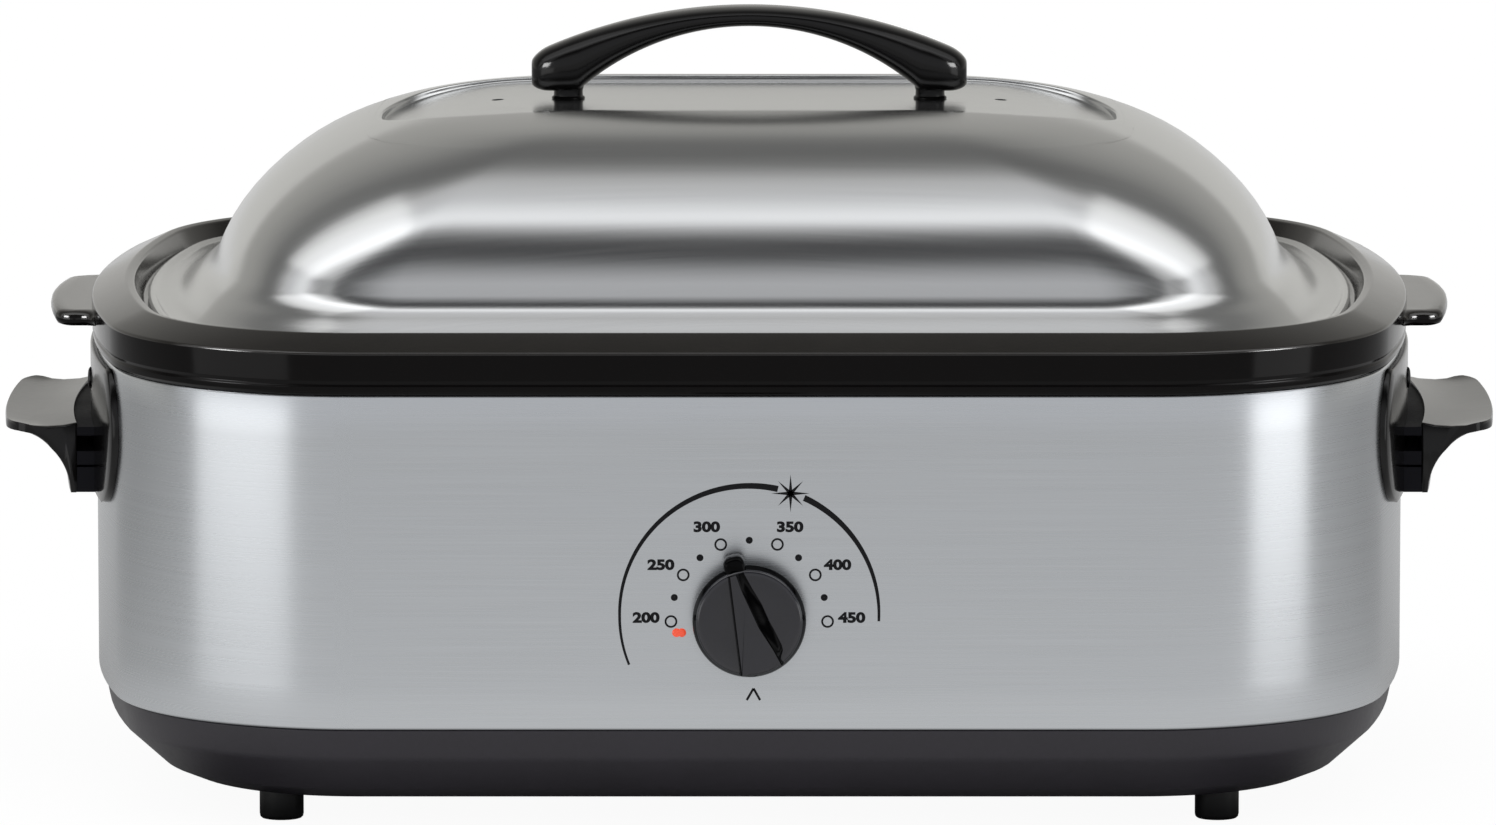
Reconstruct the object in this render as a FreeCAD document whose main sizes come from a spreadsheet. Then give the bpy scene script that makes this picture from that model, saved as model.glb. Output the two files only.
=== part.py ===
"""Electric roaster oven: a parametric FreeCAD document, in millimetres, +Z up, front towards -Y.

Every plan outline of the oven belongs to one family of parallel curves: straight long sides, gently
bowed ends and round corners. "offset" is the distance of a curve from the steel shell's outer face,
positive outwards.
"""
import FreeCAD, Part
import math
import os
import re
import Sketcher

# ---------------------------------------------------------------- driving sizes
SIZES = [
    ("shell_length", 534.0, "steel shell, end to end"),
    ("shell_width", 400.0, "steel shell, front to back"),
    ("corner_radius", 100.0, "plan radius of the shell's corners"),
    ("end_bow_radius", 600.0, "plan radius of the shell's bowed ends"),
    ("foot_height", 11.0, "floor to underside of the base pan"),
    ("pan_height", 32.7, "base pan, floor to top edge"),
    ("shell_height", 134.5, "steel shell, bottom hem to top flange"),
    ("sheet_wall", 0.8, "steel of the shell and the lid"),
    ("shell_flange", 16.0, "width of the shell's turned-in top flange"),
    ("hem_width", 12.0, "width of the shell's turned-in bottom hem"),
    ("pan_wall", 1.2, "steel of the base pan"),
    ("pan_setback", 1.0, "pan top edge inside the shell's face"),
    ("pan_knee_drop", 10.0, "height of the pan's upright upper band"),
    ("pan_knee_inset", 3.0, "how far the upper band leans in"),
    ("pan_floor_rise", 7.0, "height at which the slope turns into the floor"),
    ("pan_floor_inset", 16.0, "offset of the slope's lower end"),
    ("pan_flat_inset", 25.0, "offset of the pan's flat floor"),
    ("foot_diameter", 17.0, "foot"),
    ("foot_spacing_x", 375.0, "feet, left to right"),
    ("foot_spacing_y", 300.0, "feet, front to back"),
    ("foot_screw_diameter", 4.0, "screw up each foot"),
    ("liner_wall", 0.8, "aluminised liner"),
    ("liner_inset", 29.2, "liner's outer face inside the shell's"),
    ("liner_flange_inset", 3.0, "liner flange's edge inside the shell's face"),
    ("liner_lift", 8.0, "liner floor above the shell's bottom edge"),
    ("enamel_wall", 1.4, "enamelled steel of the cookwell"),
    ("well_inset", 36.0, "cookwell's inner face at its mouth"),
    ("well_taper", 8.0, "how much further in the cookwell's floor is"),
    ("well_depth", 132.7, "cookwell, ledge to floor"),
    ("well_floor_radius", 22.0, "round between cookwell wall and floor"),
    ("rim_overhang", 2.0, "rim's skirt outside the shell"),
    ("rim_height", 17.0, "rim's skirt, shell top to outer corner"),
    ("rim_rise", 6.3, "how much the rim climbs to its crest"),
    ("crest_inset", 15.0, "rim crest inside the shell's face"),
    ("recess_inset", 18.0, "wall of the recess round the lid"),
    ("ledge_height", 14.5, "ledge for the lid above the shell top"),
    ("bead_height", 4.0, "rolled bead along the rim's lower edge"),
    ("bead_depth", 4.4, "thickness of the rolled bead"),
    ("ear_reach", 19.0, "ear's tip beyond the shell's end"),
    ("ear_width", 112.0, "ear, front to back"),
    ("ear_drop", 2.5, "ear's top below the rim's outer corner"),
    ("ear_thickness", 6.0, "ear"),
    ("lid_gap", 3.0, "gap between lid edge and recess wall"),
    ("lid_bead_width", 3.5, "rolled edge of the lid"),
    ("lid_bead_height", 3.6, "rolled edge of the lid, top to bottom"),
    ("lid_flange_lift", 1.4, "lid flange above the ledge"),
    ("dome_inset", 47.0, "foot of the dome inside the shell's face"),
    ("dome_height", 79.1, "dome above the lid flange"),
    ("dome_corner", 70.0, "plan radius at the dome's foot"),
    ("crown_half_length", 84.0, "flat top of the dome, half its length"),
    ("crown_half_width", 59.0, "flat top of the dome, half its width"),
    ("crown_corner", 50.0, "plan radius at the dome's flat top"),
    ("panel_half_length", 150.0, "sunk panel of the lid, half its length"),
    ("panel_half_width", 58.0, "sunk panel of the lid, half its width"),
    ("panel_corner", 52.0, "corner radius of the sunk panel"),
    ("panel_depth", 3.5, "depth of the sunk panel"),
    ("vent_diameter", 5.0, "steam vents of the lid"),
    ("vent_spacing", 206.0, "steam vents, centre to centre"),
    ("handle_length", 178.0, "lid handle, end to end"),
    ("handle_width", 26.0, "lid handle, front to back"),
    ("handle_rise", 40.0, "lid handle's top above the sunk panel"),
    ("handle_thickness", 8.2, "lid handle at its middle"),
    ("handle_top_radius", 208.0, "curve along the handle's top"),
    ("handle_grip_radius", 105.0, "curve along the handle's underside"),
    ("neck_spacing", 148.0, "the handle's two necks, centre to centre"),
    ("neck_diameter", 12.0, "neck of the lid handle"),
    ("neck_height", 7.0, "neck of the lid handle"),
    ("lid_screw_diameter", 4.0, "screws of the lid handle"),
    ("lid_screw_depth", 14.0, "how far they go into the handle"),
    ("lid_washer_diameter", 12.0, "washers of the lid handle"),
    ("side_handle_width", 136.0, "side handle, front to back"),
    ("side_handle_reach", 37.5, "side handle's tip beyond the shell's end"),
    ("side_handle_top", 148.0, "side handle's upper edge above the floor"),
    ("side_handle_drop", 29.0, "side handle, upper to lower edge"),
    ("side_handle_plate", 2.6, "side handle's back plate"),
    ("side_handle_plate_rise", 28.5, "back plate above the handle's upper edge"),
    ("side_plate_span", 270.0, "back plate, front to back at mid-height"),
    ("side_plate_end_radius", 32.0, "rounded ends of the back plate"),
    ("side_handle_slot", 6.6, "slot between back plate and outer wall"),
    ("side_handle_wall", 2.8, "side handle's outer wall"),
    ("wing_thickness", 4.5, "side handle's wing at its tip"),
    ("side_screw_spacing", 80.0, "side handle's two screws"),
    ("side_screw_diameter", 5.0, "side handle's screws"),
    ("head_tilt_gap", 0.3, "play under the screw heads, which sit square on a slightly bowed plate"),
    ("knob_height", 89.5, "knob's axis above the floor"),
    ("knob_diameter", 45.0, "knob"),
    ("knob_gap", 1.0, "knob's back clear of the shell"),
    ("knob_skirt", 14.5, "depth of the knob's round body"),
    ("knob_grip", 3.5, "how far the grip bar stands out of the face"),
    ("knob_grip_width", 10.0, "grip bar"),
    ("knob_rest_angle", -16.0, "pointer's angle clockwise from straight up"),
    ("shaft_diameter", 6.0, "control shaft"),
    ("shaft_clearance", 0.05, "radial clearance of the shaft in the thermostat"),
    ("thermostat_size", 40.0, "thermostat body, width and height"),
    ("thermostat_depth", 16.0, "thermostat body, front to back"),
    ("bracket_thickness", 1.5, "thermostat bracket"),
    ("bracket_width", 62.0, "thermostat bracket"),
    ("lamp_offset", -28.0, "pilot lamp's place left of the knob"),
    ("lamp_drop", 6.2, "pilot lamp below the knob's axis"),
    ("lens_width", 5.6, "pilot lamp's lens"),
    ("lens_height", 4.2, "pilot lamp's lens"),
    ("band_height", 22.0, "heater band"),
    ("band_thickness", 3.0, "heater band"),
    ("band_lift", 24.0, "heater band above the liner's floor"),
    ("blanket_thickness", 12.0, "insulation round the heater band"),
    ("blanket_lift", 20.0, "insulation above the liner's floor"),
    ("blanket_height", 100.0, "insulation"),
    ("gland_offset", 100.0, "cord gland right of centre"),
    ("gland_lift", 12.0, "cord gland above the shell's bottom edge"),
    ("gland_size", 12.0, "square body of the cord gland"),
    ("gland_flange", 18.0, "flange of the cord gland"),
    ("gland_bore", 7.6, "bore of the cord gland"),
    ("gland_depth", 11.0, "length of the cord gland's bore"),
    ("rack_height", 12.0, "rack's frame above the cookwell's floor"),
    ("rack_length", 385.0, "rack, outside the frame"),
    ("rack_width", 250.0, "rack, outside the frame"),
    ("rack_corner", 40.0, "rack's corners, wire centre"),
    ("frame_wire", 5.0, "rack's frame wire"),
    ("cross_wire", 3.0, "rack's cross wires"),
    ("wire_count", 11.0, "rack's cross wires"),
    ("wire_pitch", 28.0, "rack's cross wires"),
    ("lift_height", 75.0, "rack's lift handles above the floor of the cookwell"),
    ("lift_width", 110.0, "rack's lift handles"),
    ("bar_spacing", 180.0, "the two tie bars under the liner"),
    ("bar_width", 18.0, "tie bar"),
    ("pan_screw_spacing", 220.0, "pan screws along each tie bar"),
    ("pan_screw_diameter", 4.0, "pan screws"),
    ("lead_diameter", 2.4, "internal leads"),
    ("lead_bend", 8.0, "bends of the internal leads"),
    ("lead_run_lift", 10.0, "leads above the base pan"),
    ("lead_inset", 3.0, "leads in from the thermostat's back"),
    ("lead_end_gap", 0.3, "slanted leads short of the terminal block"),
    ("lead_live_x", -12.0, "live lead at the thermostat"),
    ("lead_load_x", 8.0, "load lead at the thermostat"),
    ("post_live_x", -22.0, "live lead at the terminal block"),
    ("post_load_x", -4.0, "load lead at the terminal block"),
    ("block_left", 30.0, "terminal block, left of the middle"),
    ("block_right", 10.0, "terminal block, right of the middle"),
    ("block_gap", 22.0, "terminal block behind the pan screws"),
    ("block_depth", 16.0, "terminal block, front to back"),
    ("block_height", 14.0, "terminal block"),
    ("screw_head_height", 2.4, "heads of the upright screws"),
    ("bar_thickness", 1.6, "tie bar"),
    ("bar_end_gap", 1.0, "tie bar's ends inside the shell"),
    ("clamp_opening", 18.0, "gap between the heater band's ends"),
    ("lug_thickness", 2.0, "clamp lugs"),
    ("lug_depth", 12.0, "clamp lugs, front to back"),
    ("lug_height", 16.0, "clamp lugs"),
    ("clamp_screw_out", 7.0, "clamp screw behind the liner's wall"),
    ("clamp_screw_diameter", 3.0, "clamp screw"),
    ("clamp_screw_spare", 3.0, "clamp screw beyond each lug"),
    ("clamp_head_length", 5.0, "head of the clamp screw, over its end"),
    ("clamp_nut_length", 2.4, "nut of the clamp screw"),
    ("cover_margin", 4.0, "openings of the insulation round the parts in them"),
    ("bracket_screw_inset", 5.0, "bracket screws in from its sides"),
    ("bracket_screw_rise", 12.0, "bracket screws above the knob's axis"),
    ("small_screw_diameter", 3.0, "screws of the bracket"),
    ("small_head_height", 2.0, "heads of the bracket's screws"),
    ("shaft_stop", 5.0, "control shaft short of the thermostat's back"),
    ("sensor_half_width", 6.0, "sensor strap"),
    ("sensor_drop", 4.0, "sensor strap below the knob's axis"),
    ("sensor_rise", 10.0, "sensor strap above the knob's axis"),
    ("sensor_gap", 0.3, "sensor strap off the heater band"),
    ("lens_proud", 0.9, "pilot lens in front of the shell"),
    ("lens_tail", 2.2, "pilot lens behind the shell's sheet"),
    ("neon_diameter", 4.0, "neon lamp"),
    ("neon_length", 6.0, "neon lamp"),
    ("holder_wall", 2.0, "lamp holder's back"),
    ("holder_half_width", 5.0, "lamp holder"),
    ("holder_half_height", 6.0, "lamp holder"),
    ("gland_plate_thickness", 1.6, "cord gland's flange"),
    ("fuse_diameter", 6.0, "thermal fuse"),
    ("fuse_gap", 5.0, "thermal fuse beside the thermostat"),
    ("fuse_drop", 8.0, "thermal fuse's lower end below the knob's axis"),
    ("ear_corner", 10.0, "ear's corners"),
    ("lift_bend", 12.0, "bends of the rack's lift handles"),
    ("panel_reach", 20.0, "the arch's tools beyond the flat top"),
    ("handle_end_round", 5.0, "handle ends, upper edges"),
    ("handle_foot_round", 6.0, "handle ends, lower edges"),
    ("washer_thickness", 1.0, "washers of the lid handle"),
    ("plate_end_drop", 24.5, "centre of the back plate's round ends, below its top"),
    ("web_overlap", 0.5, "webs sunk into the plate and the wall"),
    ("upper_web_top", 2.0, "upper web, below the side handle's upper edge"),
    ("upper_web_bottom", 5.5, "upper web, below the side handle's upper edge"),
    ("middle_web_top", 12.0, "middle web, below the side handle's upper edge"),
    ("middle_web_bottom", 17.5, "middle web, below the side handle's upper edge"),
    ("lower_web_top", 17.5, "lower web, below the side handle's upper edge"),
    ("backing_thickness", 1.5, "reinforcing plates inside the shell"),
    ("backing_gap", 0.3, "reinforcing plates off the shell's sheet"),
    ("backing_half_height", 9.0, "reinforcing plates"),
    ("backing_margin", 14.0, "reinforcing plates beyond the outer screws"),
    ("side_screw_spare", 3.0, "side screws beyond the reinforcing plates"),
    ("side_head_diameter", 9.0, "side screws' heads"),
    ("side_head_height", 2.0, "side screws' heads"),
    ("nub_half_width", 2.0, "knob's pointer"),
    ("nub_reach", 1.6, "knob's pointer beyond the skirt"),
    ("hub_wall", 4.0, "knob's front over the shaft's bore"),
    ("clip_half_width", 2.4, "knob's spring clip"),
    ("clip_thickness", 0.9, "knob's spring clip"),
    ("clip_play", 0.1, "knob's spring clip in its slot"),
]

# Sizes that follow from the driving ones, as expressions.
DERIVED = {
    "half_length": "(shell_length / 2)",
    "half_width": "(shell_width / 2)",
    "shell_bottom": "(foot_height + pan_height)",
    "shell_top": "(shell_bottom + shell_height)",
    "liner_floor": "(shell_bottom + liner_lift)",
    "ledge_top": "(shell_top + ledge_height)",
    "well_floor": "(ledge_top - well_depth)",
    "rim_corner": "(shell_top + rim_height)",
    "rim_crest": "(rim_corner + rim_rise)",
    "flange_top": "(ledge_top + lid_flange_lift + sheet_wall)",
    "crown_top": "(flange_top + dome_height)",
    "panel_top": "(crown_top - panel_depth)",
    "dome_rise_x": "(half_length - dome_inset - crown_half_length)",
    "dome_rise_y": "(half_width - dome_inset - crown_half_width)",
    "handle_top": "(panel_top + handle_rise)",
    "handle_bottom": "(panel_top + neck_height)",
    "shell_front": "(-half_width)",
    "knob_front": "(half_width + knob_gap + knob_skirt + knob_grip)",
    "centre_shift": "((knob_front - half_width - rim_overhang) / 2)",
    "bar_top": "(shell_bottom + sheet_wall + bar_thickness)",
    "band_offset": "(band_thickness - liner_inset)",
}

doc = FreeCAD.newDocument("roaster_oven")
sheet = doc.addObject("Spreadsheet::Sheet", "Sizes")
for row, (alias, size, note) in enumerate(SIZES, start=1):
    sheet.set(f"A{row}", note)
    sheet.set(f"B{row}", str(size))
    sheet.setAlias(f"B{row}", alias)
doc.recompute()

WORDS = re.compile(r"\b(" + "|".join([alias for alias, _, _ in SIZES] + list(DERIVED)) + r")\b")


def expression(text):
    """The sheet expression of a text that uses driving and derived sizes by name."""
    def spell_out(match):
        word = match.group(1)
        return expression(DERIVED[word]) if word in DERIVED else f"Sizes.{word}"
    return WORDS.sub(spell_out, str(text))


def value(text):
    """The number that an expression has now."""
    return float(sheet.evalExpression(expression(text)))


def bind(item, prop, text):
    item.setExpression(prop, expression(text))


# ---------------------------------------------------------------- primitives
shift_of = {}


def place(item, x, y, z):
    """Places an item, and remembers its y so that the finished sub-part can be centred."""
    for axis, text in zip("xyz", (x, y, z)):
        bind(item, f".Placement.Base.{axis}", text)
    shift_of[item.Name] = str(y)
    return item


def box(name, low, high):
    """A box between two corners given as expressions."""
    item = doc.addObject("Part::Box", name)
    for prop, start, end in zip(("Length", "Width", "Height"), low, high):
        bind(item, prop, f"({end}) - ({start})")
    return place(item, *low)


ALONG = {"x": FreeCAD.Rotation(FreeCAD.Vector(0, 1, 0), 90),
         "y": FreeCAD.Rotation(FreeCAD.Vector(1, 0, 0), -90),
         "z": FreeCAD.Rotation()}


def rod(name, start, diameter, length, along="z"):
    """A cylinder from a start point along +x, +y or +z."""
    item = doc.addObject("Part::Cylinder", name)
    bind(item, "Radius", f"({diameter}) / 2")
    bind(item, "Height", length)
    item.Placement.Rotation = ALONG[along]
    return place(item, *start)


def fuse(name, *items):
    item = doc.addObject("Part::MultiFuse", name)
    item.Shapes = list(items)
    item.Refine = True
    return item


def cut(name, base, *tools):
    item = doc.addObject("Part::Cut", name)
    item.Base = base
    item.Tool = tools[0] if len(tools) == 1 else fuse(name + "_tools", *tools)
    return item


def common(name, *items):
    item = doc.addObject("Part::MultiCommon", name)
    item.Shapes = list(items)
    return item


def group(name, items):
    """Identical small pieces that share one node."""
    item = doc.addObject("Part::Compound", name)
    item.Links = list(items)
    return item


subparts = []


def keep(item, node):
    """Makes an item a sub-part: its Label names its file, and it moves onto the oven's centre."""
    item.Label = node
    own = shift_of.get(item.Name, "0")
    bind(item, ".Placement.Base.y", f"({own}) + centre_shift")
    subparts.append(item)
    return item


# ---------------------------------------------------------------- plan outlines
def outline(sketch, half_x, half_y, corner, bow):
    """Adds one closed outline: straight long sides, bowed ends, round corners, all bound."""
    hx, hy, rc, rb = (value(text) for text in (half_x, half_y, corner, bow))
    end_x = hx - rb
    corner_y = hy - rc
    corner_x = end_x + math.sqrt((rb - rc) ** 2 - corner_y ** 2)
    tilt = math.atan2(corner_y, corner_x - end_x)
    turn = math.pi

    def point(x, y):
        return FreeCAD.Vector(x, y, 0)

    def arc(x, y, radius, start, end):
        circle = Part.Circle(point(x, y), FreeCAD.Vector(0, 0, 1), radius)
        return Part.ArcOfCircle(circle, start, end)

    first = sketch.addGeometry([
        Part.LineSegment(point(-corner_x, -hy), point(corner_x, -hy)),
        arc(corner_x, -corner_y, rc, -turn / 2, -tilt),
        arc(end_x, 0, rb, -tilt, tilt),
        arc(corner_x, corner_y, rc, tilt, turn / 2),
        Part.LineSegment(point(corner_x, hy), point(-corner_x, hy)),
        arc(-corner_x, corner_y, rc, turn / 2, turn - tilt),
        arc(-end_x, 0, rb, turn - tilt, turn + tilt),
        arc(-corner_x, -corner_y, rc, turn + tilt, 1.5 * turn),
    ], False)[0]
    front, corner_arc, right, _, back, _, left, _ = range(first, first + 8)
    rules = [Sketcher.Constraint("Tangent", first + i, 2, first + (i + 1) % 8, 1) for i in range(8)]
    rules += [Sketcher.Constraint("Horizontal", line) for line in (front, back)]
    rules += [Sketcher.Constraint("Equal", corner_arc, corner_arc + step) for step in (2, 4, 6)]
    rules += [Sketcher.Constraint("Equal", right, left)]
    rules += [Sketcher.Constraint("PointOnObject", end, 3, -1) for end in (right, left)]
    sketch.addConstraint(rules)
    for rule, text in (
            (("Radius", corner_arc, rc), corner),
            (("Radius", right, rb), bow),
            (("DistanceX", right, 3, -1, 1, -end_x), f"({bow}) - ({half_x})"),
            (("DistanceX", -1, 1, left, 3, -end_x), f"({bow}) - ({half_x})"),
            (("DistanceY", front, 1, -1, 1, hy), half_y),
            (("DistanceY", -1, 1, back, 1, hy), half_y)):
        index = sketch.addConstraint(Sketcher.Constraint(*rule))
        bind(sketch, f"Constraints[{index}]", text)


def offset_curve(offset):
    """The oven's plan curve, moved outwards by offset."""
    return (f"half_length + ({offset})", f"half_width + ({offset})",
            f"corner_radius + ({offset})", f"end_bow_radius + ({offset})")


def level_sketch(body, name, height, *curves):
    """A sketch at a height that holds one or more closed outlines."""
    sketch = body.newObject("Sketcher::SketchObject", name)
    plane = [face for face in body.Origin.OriginFeatures if face.Role == "XY_Plane"][0]
    sketch.AttachmentSupport = [(plane, "")]
    sketch.MapMode = "FlatFace"
    bind(sketch, ".AttachmentOffset.Base.z", height)
    for curve in curves:
        outline(sketch, *curve)
    return sketch


def new_body(name):
    return doc.addObject("PartDesign::Body", name)


def pad(body, name, bottom, height, *curves):
    """Adds a straight wall or slab whose plan is one outline, or the ring between two."""
    feature = body.newObject("PartDesign::Pad", name)
    feature.Profile = level_sketch(body, name + "_sketch", bottom, *curves)
    bind(feature, "Length", height)
    return feature


def pocket(body, name, bottom, height, *curves):
    """Cuts upwards from a height, inside one outline or in the ring between two."""
    feature = body.newObject("PartDesign::Pocket", name)
    feature.Profile = level_sketch(body, name + "_sketch", bottom, *curves)
    feature.Reversed = True
    bind(feature, "Length", height)
    return feature


def loft(body, name, levels, ruled=True, remove=False):
    """Joins outlines at several heights; levels holds (height, curve) pairs."""
    kind = "PartDesign::SubtractiveLoft" if remove else "PartDesign::AdditiveLoft"
    sketches = [level_sketch(body, f"{name}_{i}", height, curve)
                for i, (height, curve) in enumerate(levels)]
    feature = body.newObject(kind, name)
    feature.Profile = sketches[0]
    feature.Sections = sketches[1:]
    feature.Ruled = ruled
    return feature


def prism(name, bottom, height, *curves):
    body = new_body(name)
    pad(body, name + "_pad", bottom, height, *curves)
    return body


# ---------------------------------------------------------------- steel shell
def screw_holes(name, points, diameter, length, along):
    """One tool made of equal cylinders."""
    return fuse(name, *[rod(f"{name}_{i}", start, diameter, length, along)
                        for i, start in enumerate(points)])


shell = prism("shell_wrap", "shell_bottom", "shell_height", offset_curve("0"), offset_curve("-sheet_wall"))
pad(shell, "shell_flange_pad", "shell_top - sheet_wall", "sheet_wall",
    offset_curve("-sheet_wall / 2"), offset_curve("-shell_flange"))
pad(shell, "shell_hem_pad", "shell_bottom", "sheet_wall",
    offset_curve("-sheet_wall / 2"), offset_curve("-hem_width"))

KNOB_AXIS = ("0", "knob_height")
side_screw_z = "side_handle_top + side_handle_plate_rise / 2"
side_screw_rows = ("-side_screw_spacing / 2", "side_screw_spacing / 2")


def bow_drop(y):
    """How far the bowed end has fallen back from its middle at a given y."""
    return f"(({y}) ^ 2 / (2 * end_bow_radius))"


shaft_hole = rod("shaft_hole", ("0", "shell_front - 2", "knob_height"), "shaft_diameter + 4", "8", "y")
lens_hole = box("lens_hole", ("lamp_offset - lens_width / 2", "shell_front - 2",
                              "knob_height - lamp_drop - lens_height / 2"),
                ("lamp_offset + lens_width / 2", "shell_front + 6",
                 "knob_height - lamp_drop + lens_height / 2"))
gland_z = "(shell_bottom + gland_lift)"
gland_hole = box("gland_hole", ("gland_offset - gland_size / 2", "half_width - 4",
                                f"{gland_z} - gland_size / 2"),
                 ("gland_offset + gland_size / 2", "half_width + 2", f"{gland_z} + gland_size / 2"))
end_holes = screw_holes("end_holes", [("-half_length - 4", y, side_screw_z) for y in side_screw_rows],
                        "side_screw_diameter", "shell_length + 8", "x")
keep(cut("outer_shell_cut", shell, shaft_hole, lens_hole, gland_hole, end_holes), "outer_shell")

# ---------------------------------------------------------------- base pan and feet
pan_levels = [("shell_bottom", "-pan_setback"),
              ("shell_bottom - pan_knee_drop", "-pan_setback - pan_knee_inset"),
              ("foot_height + pan_floor_rise", "-pan_floor_inset"),
              ("foot_height", "-pan_flat_inset")]
pan = new_body("pan_form")
loft(pan, "pan_outer", [(height, offset_curve(offset)) for height, offset in pan_levels])
loft(pan, "pan_inner", [(height if i < 3 else "foot_height + pan_wall", offset_curve(f"{offset} - pan_wall"))
                        for i, (height, offset) in enumerate(pan_levels)], remove=True)

bar_rows = ("-bar_spacing / 2", "bar_spacing / 2")
pan_screw_points = [(x, y) for x in bar_rows for y in ("-pan_screw_spacing / 2", "pan_screw_spacing / 2")]
foot_points = {"front_left": ("-foot_spacing_x / 2", "-foot_spacing_y / 2"),
               "front_right": ("foot_spacing_x / 2", "-foot_spacing_y / 2"),
               "rear_left": ("-foot_spacing_x / 2", "foot_spacing_y / 2"),
               "rear_right": ("foot_spacing_x / 2", "foot_spacing_y / 2")}
pan_holes = screw_holes("pan_holes", [(x, y, "foot_height - 1") for x, y in pan_screw_points],
                        "pan_screw_diameter", "pan_wall + 2", "z")
foot_holes = screw_holes("foot_holes", [(x, y, "foot_height - 1") for x, y in foot_points.values()],
                         "foot_screw_diameter", "pan_wall + 2", "z")
keep(cut("base_pan_cut", pan, pan_holes, foot_holes), "base_pan")

foot_screw_tip = "foot_height * 0.3"
for corner, (x, y) in foot_points.items():
    plug = rod(f"foot_{corner}_round", (x, y, "0"), "foot_diameter", "foot_height")
    socket = rod(f"foot_{corner}_socket", (x, y, foot_screw_tip), "foot_screw_diameter", "foot_height")
    keep(cut(f"foot_{corner}_cut", plug, socket), f"foot_{corner}")


def screw(name, x, y, tip, seat, diameter, head_above):
    """An upright screw from its tip to the face its head sits on."""
    head_low = seat if head_above else f"({seat}) - screw_head_height"
    shank_ends = (tip, seat) if head_above else (seat, tip)
    shank = rod(f"{name}_shank", (x, y, shank_ends[0]), diameter, f"({shank_ends[1]}) - ({shank_ends[0]})")
    head = rod(f"{name}_head", (x, y, head_low), f"({diameter}) * 2", "screw_head_height")
    return fuse(name, shank, head)


keep(group("foot_screw_set", [screw(f"foot_screw_{i}", x, y, foot_screw_tip, "foot_height + pan_wall",
                                    "foot_screw_diameter", True)
                              for i, (x, y) in enumerate(foot_points.values())]), "foot_screws")

# ---------------------------------------------------------------- tie bars and pan screws
bars = []
for i, x in enumerate(bar_rows):
    bar = box(f"tie_bar_{i}", (f"{x} - bar_width / 2", "-half_width + sheet_wall + bar_end_gap",
                               "shell_bottom + sheet_wall"),
              (f"{x} + bar_width / 2", "half_width - sheet_wall - bar_end_gap", "bar_top"))
    bars.append(cut(f"tie_bar_{i}_cut", bar, screw_holes(
        f"tie_bar_{i}_holes", [(x, y, "shell_bottom") for y in ("-pan_screw_spacing / 2", "pan_screw_spacing / 2")],
        "pan_screw_diameter", "bar_width", "z")))
keep(group("tie_bar_set", bars), "tie_bars")
keep(group("pan_screw_set", [screw(f"pan_screw_{i}", x, y, "bar_top", "foot_height", "pan_screw_diameter", False)
                             for i, (x, y) in enumerate(pan_screw_points)]), "pan_screws")

# ---------------------------------------------------------------- liner, heater band, insulation
liner = prism("liner_form", "liner_floor", "shell_top - liner_floor",
              offset_curve("-liner_inset"), offset_curve("-liner_inset - liner_wall"))
pad(liner, "liner_base_pad", "liner_floor", "liner_wall", offset_curve("-liner_inset"))
pad(liner, "liner_flange_pad", "shell_top", "liner_wall",
    offset_curve("-liner_flange_inset"), offset_curve("-liner_inset - liner_wall"))
keep(liner, "liner")

band = prism("heater_band_form", "liner_floor + band_lift", "band_height",
             offset_curve("band_offset"), offset_curve("-liner_inset"))
clamp_gap = box("clamp_gap", ("-clamp_opening / 2", "half_width - liner_inset - 2", "liner_floor"),
                ("clamp_opening / 2", "half_width", "shell_top - sheet_wall"))
keep(cut("heater_band_cut", band, clamp_gap), "heater_band")
band_mid = "(liner_floor + band_lift + band_height / 2)"
clamp_front = "(half_width - liner_inset)"
lug_foot = f"({band_mid} - lug_height / 2)"
lugs = [box(f"clamp_lug_{i}", (start, clamp_front, lug_foot),
            (end, f"{clamp_front} + lug_depth", f"{band_mid} + lug_height / 2"))
        for i, (start, end) in enumerate((("-clamp_opening / 2", "-clamp_opening / 2 + lug_thickness"),
                                          ("clamp_opening / 2 - lug_thickness", "clamp_opening / 2")))]
clamp_screw_y = f"{clamp_front} + clamp_screw_out"
screw_half = "(clamp_opening / 2 + clamp_screw_spare)"


def clamp_rod(name, start, diameter, length):
    """A cylinder on the clamp screw's axis."""
    return rod(name, (start, clamp_screw_y, band_mid), diameter, length, "x")


lug_holes = clamp_rod("lug_holes", f"-{screw_half}", "clamp_screw_diameter", f"2 * {screw_half}")
keep(cut("band_clamp_cut", fuse("band_clamp_lugs", *lugs), lug_holes), "band_clamp")
keep(fuse("clamp_screw_form",
          clamp_rod("clamp_screw_shank", f"-{screw_half}", "clamp_screw_diameter", f"2 * {screw_half}"),
          clamp_rod("clamp_screw_head", "-clamp_opening / 2 - clamp_head_length", "2 * clamp_screw_diameter",
                    "clamp_head_length"),
          clamp_rod("clamp_screw_nut", "clamp_opening / 2", "2 * clamp_screw_diameter", "clamp_nut_length")),
     "clamp_screw")

blanket = prism("blanket_form", "liner_floor + blanket_lift", "blanket_height",
                offset_curve("band_offset + blanket_thickness"), offset_curve("band_offset"))
front_gap = box("blanket_front_gap", ("-bracket_width / 2 - cover_margin", "shell_front", "liner_floor"),
                ("bracket_width / 2 + cover_margin", "shell_front + liner_inset + 2", "knob_height + bracket_width / 2 + cover_margin"))
rear_gap = box("blanket_rear_gap", ("-clamp_opening", "half_width - liner_inset - 2", "liner_floor"),
               ("clamp_opening", "half_width", f"{band_mid} + lug_height / 2 + cover_margin"))
keep(cut("blanket_cut", blanket, front_gap, rear_gap), "insulation_blanket")
keep(prism("bottom_pad", "bar_top", "liner_floor - bar_top", offset_curve("-dome_inset")), "insulation_pad")

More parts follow.
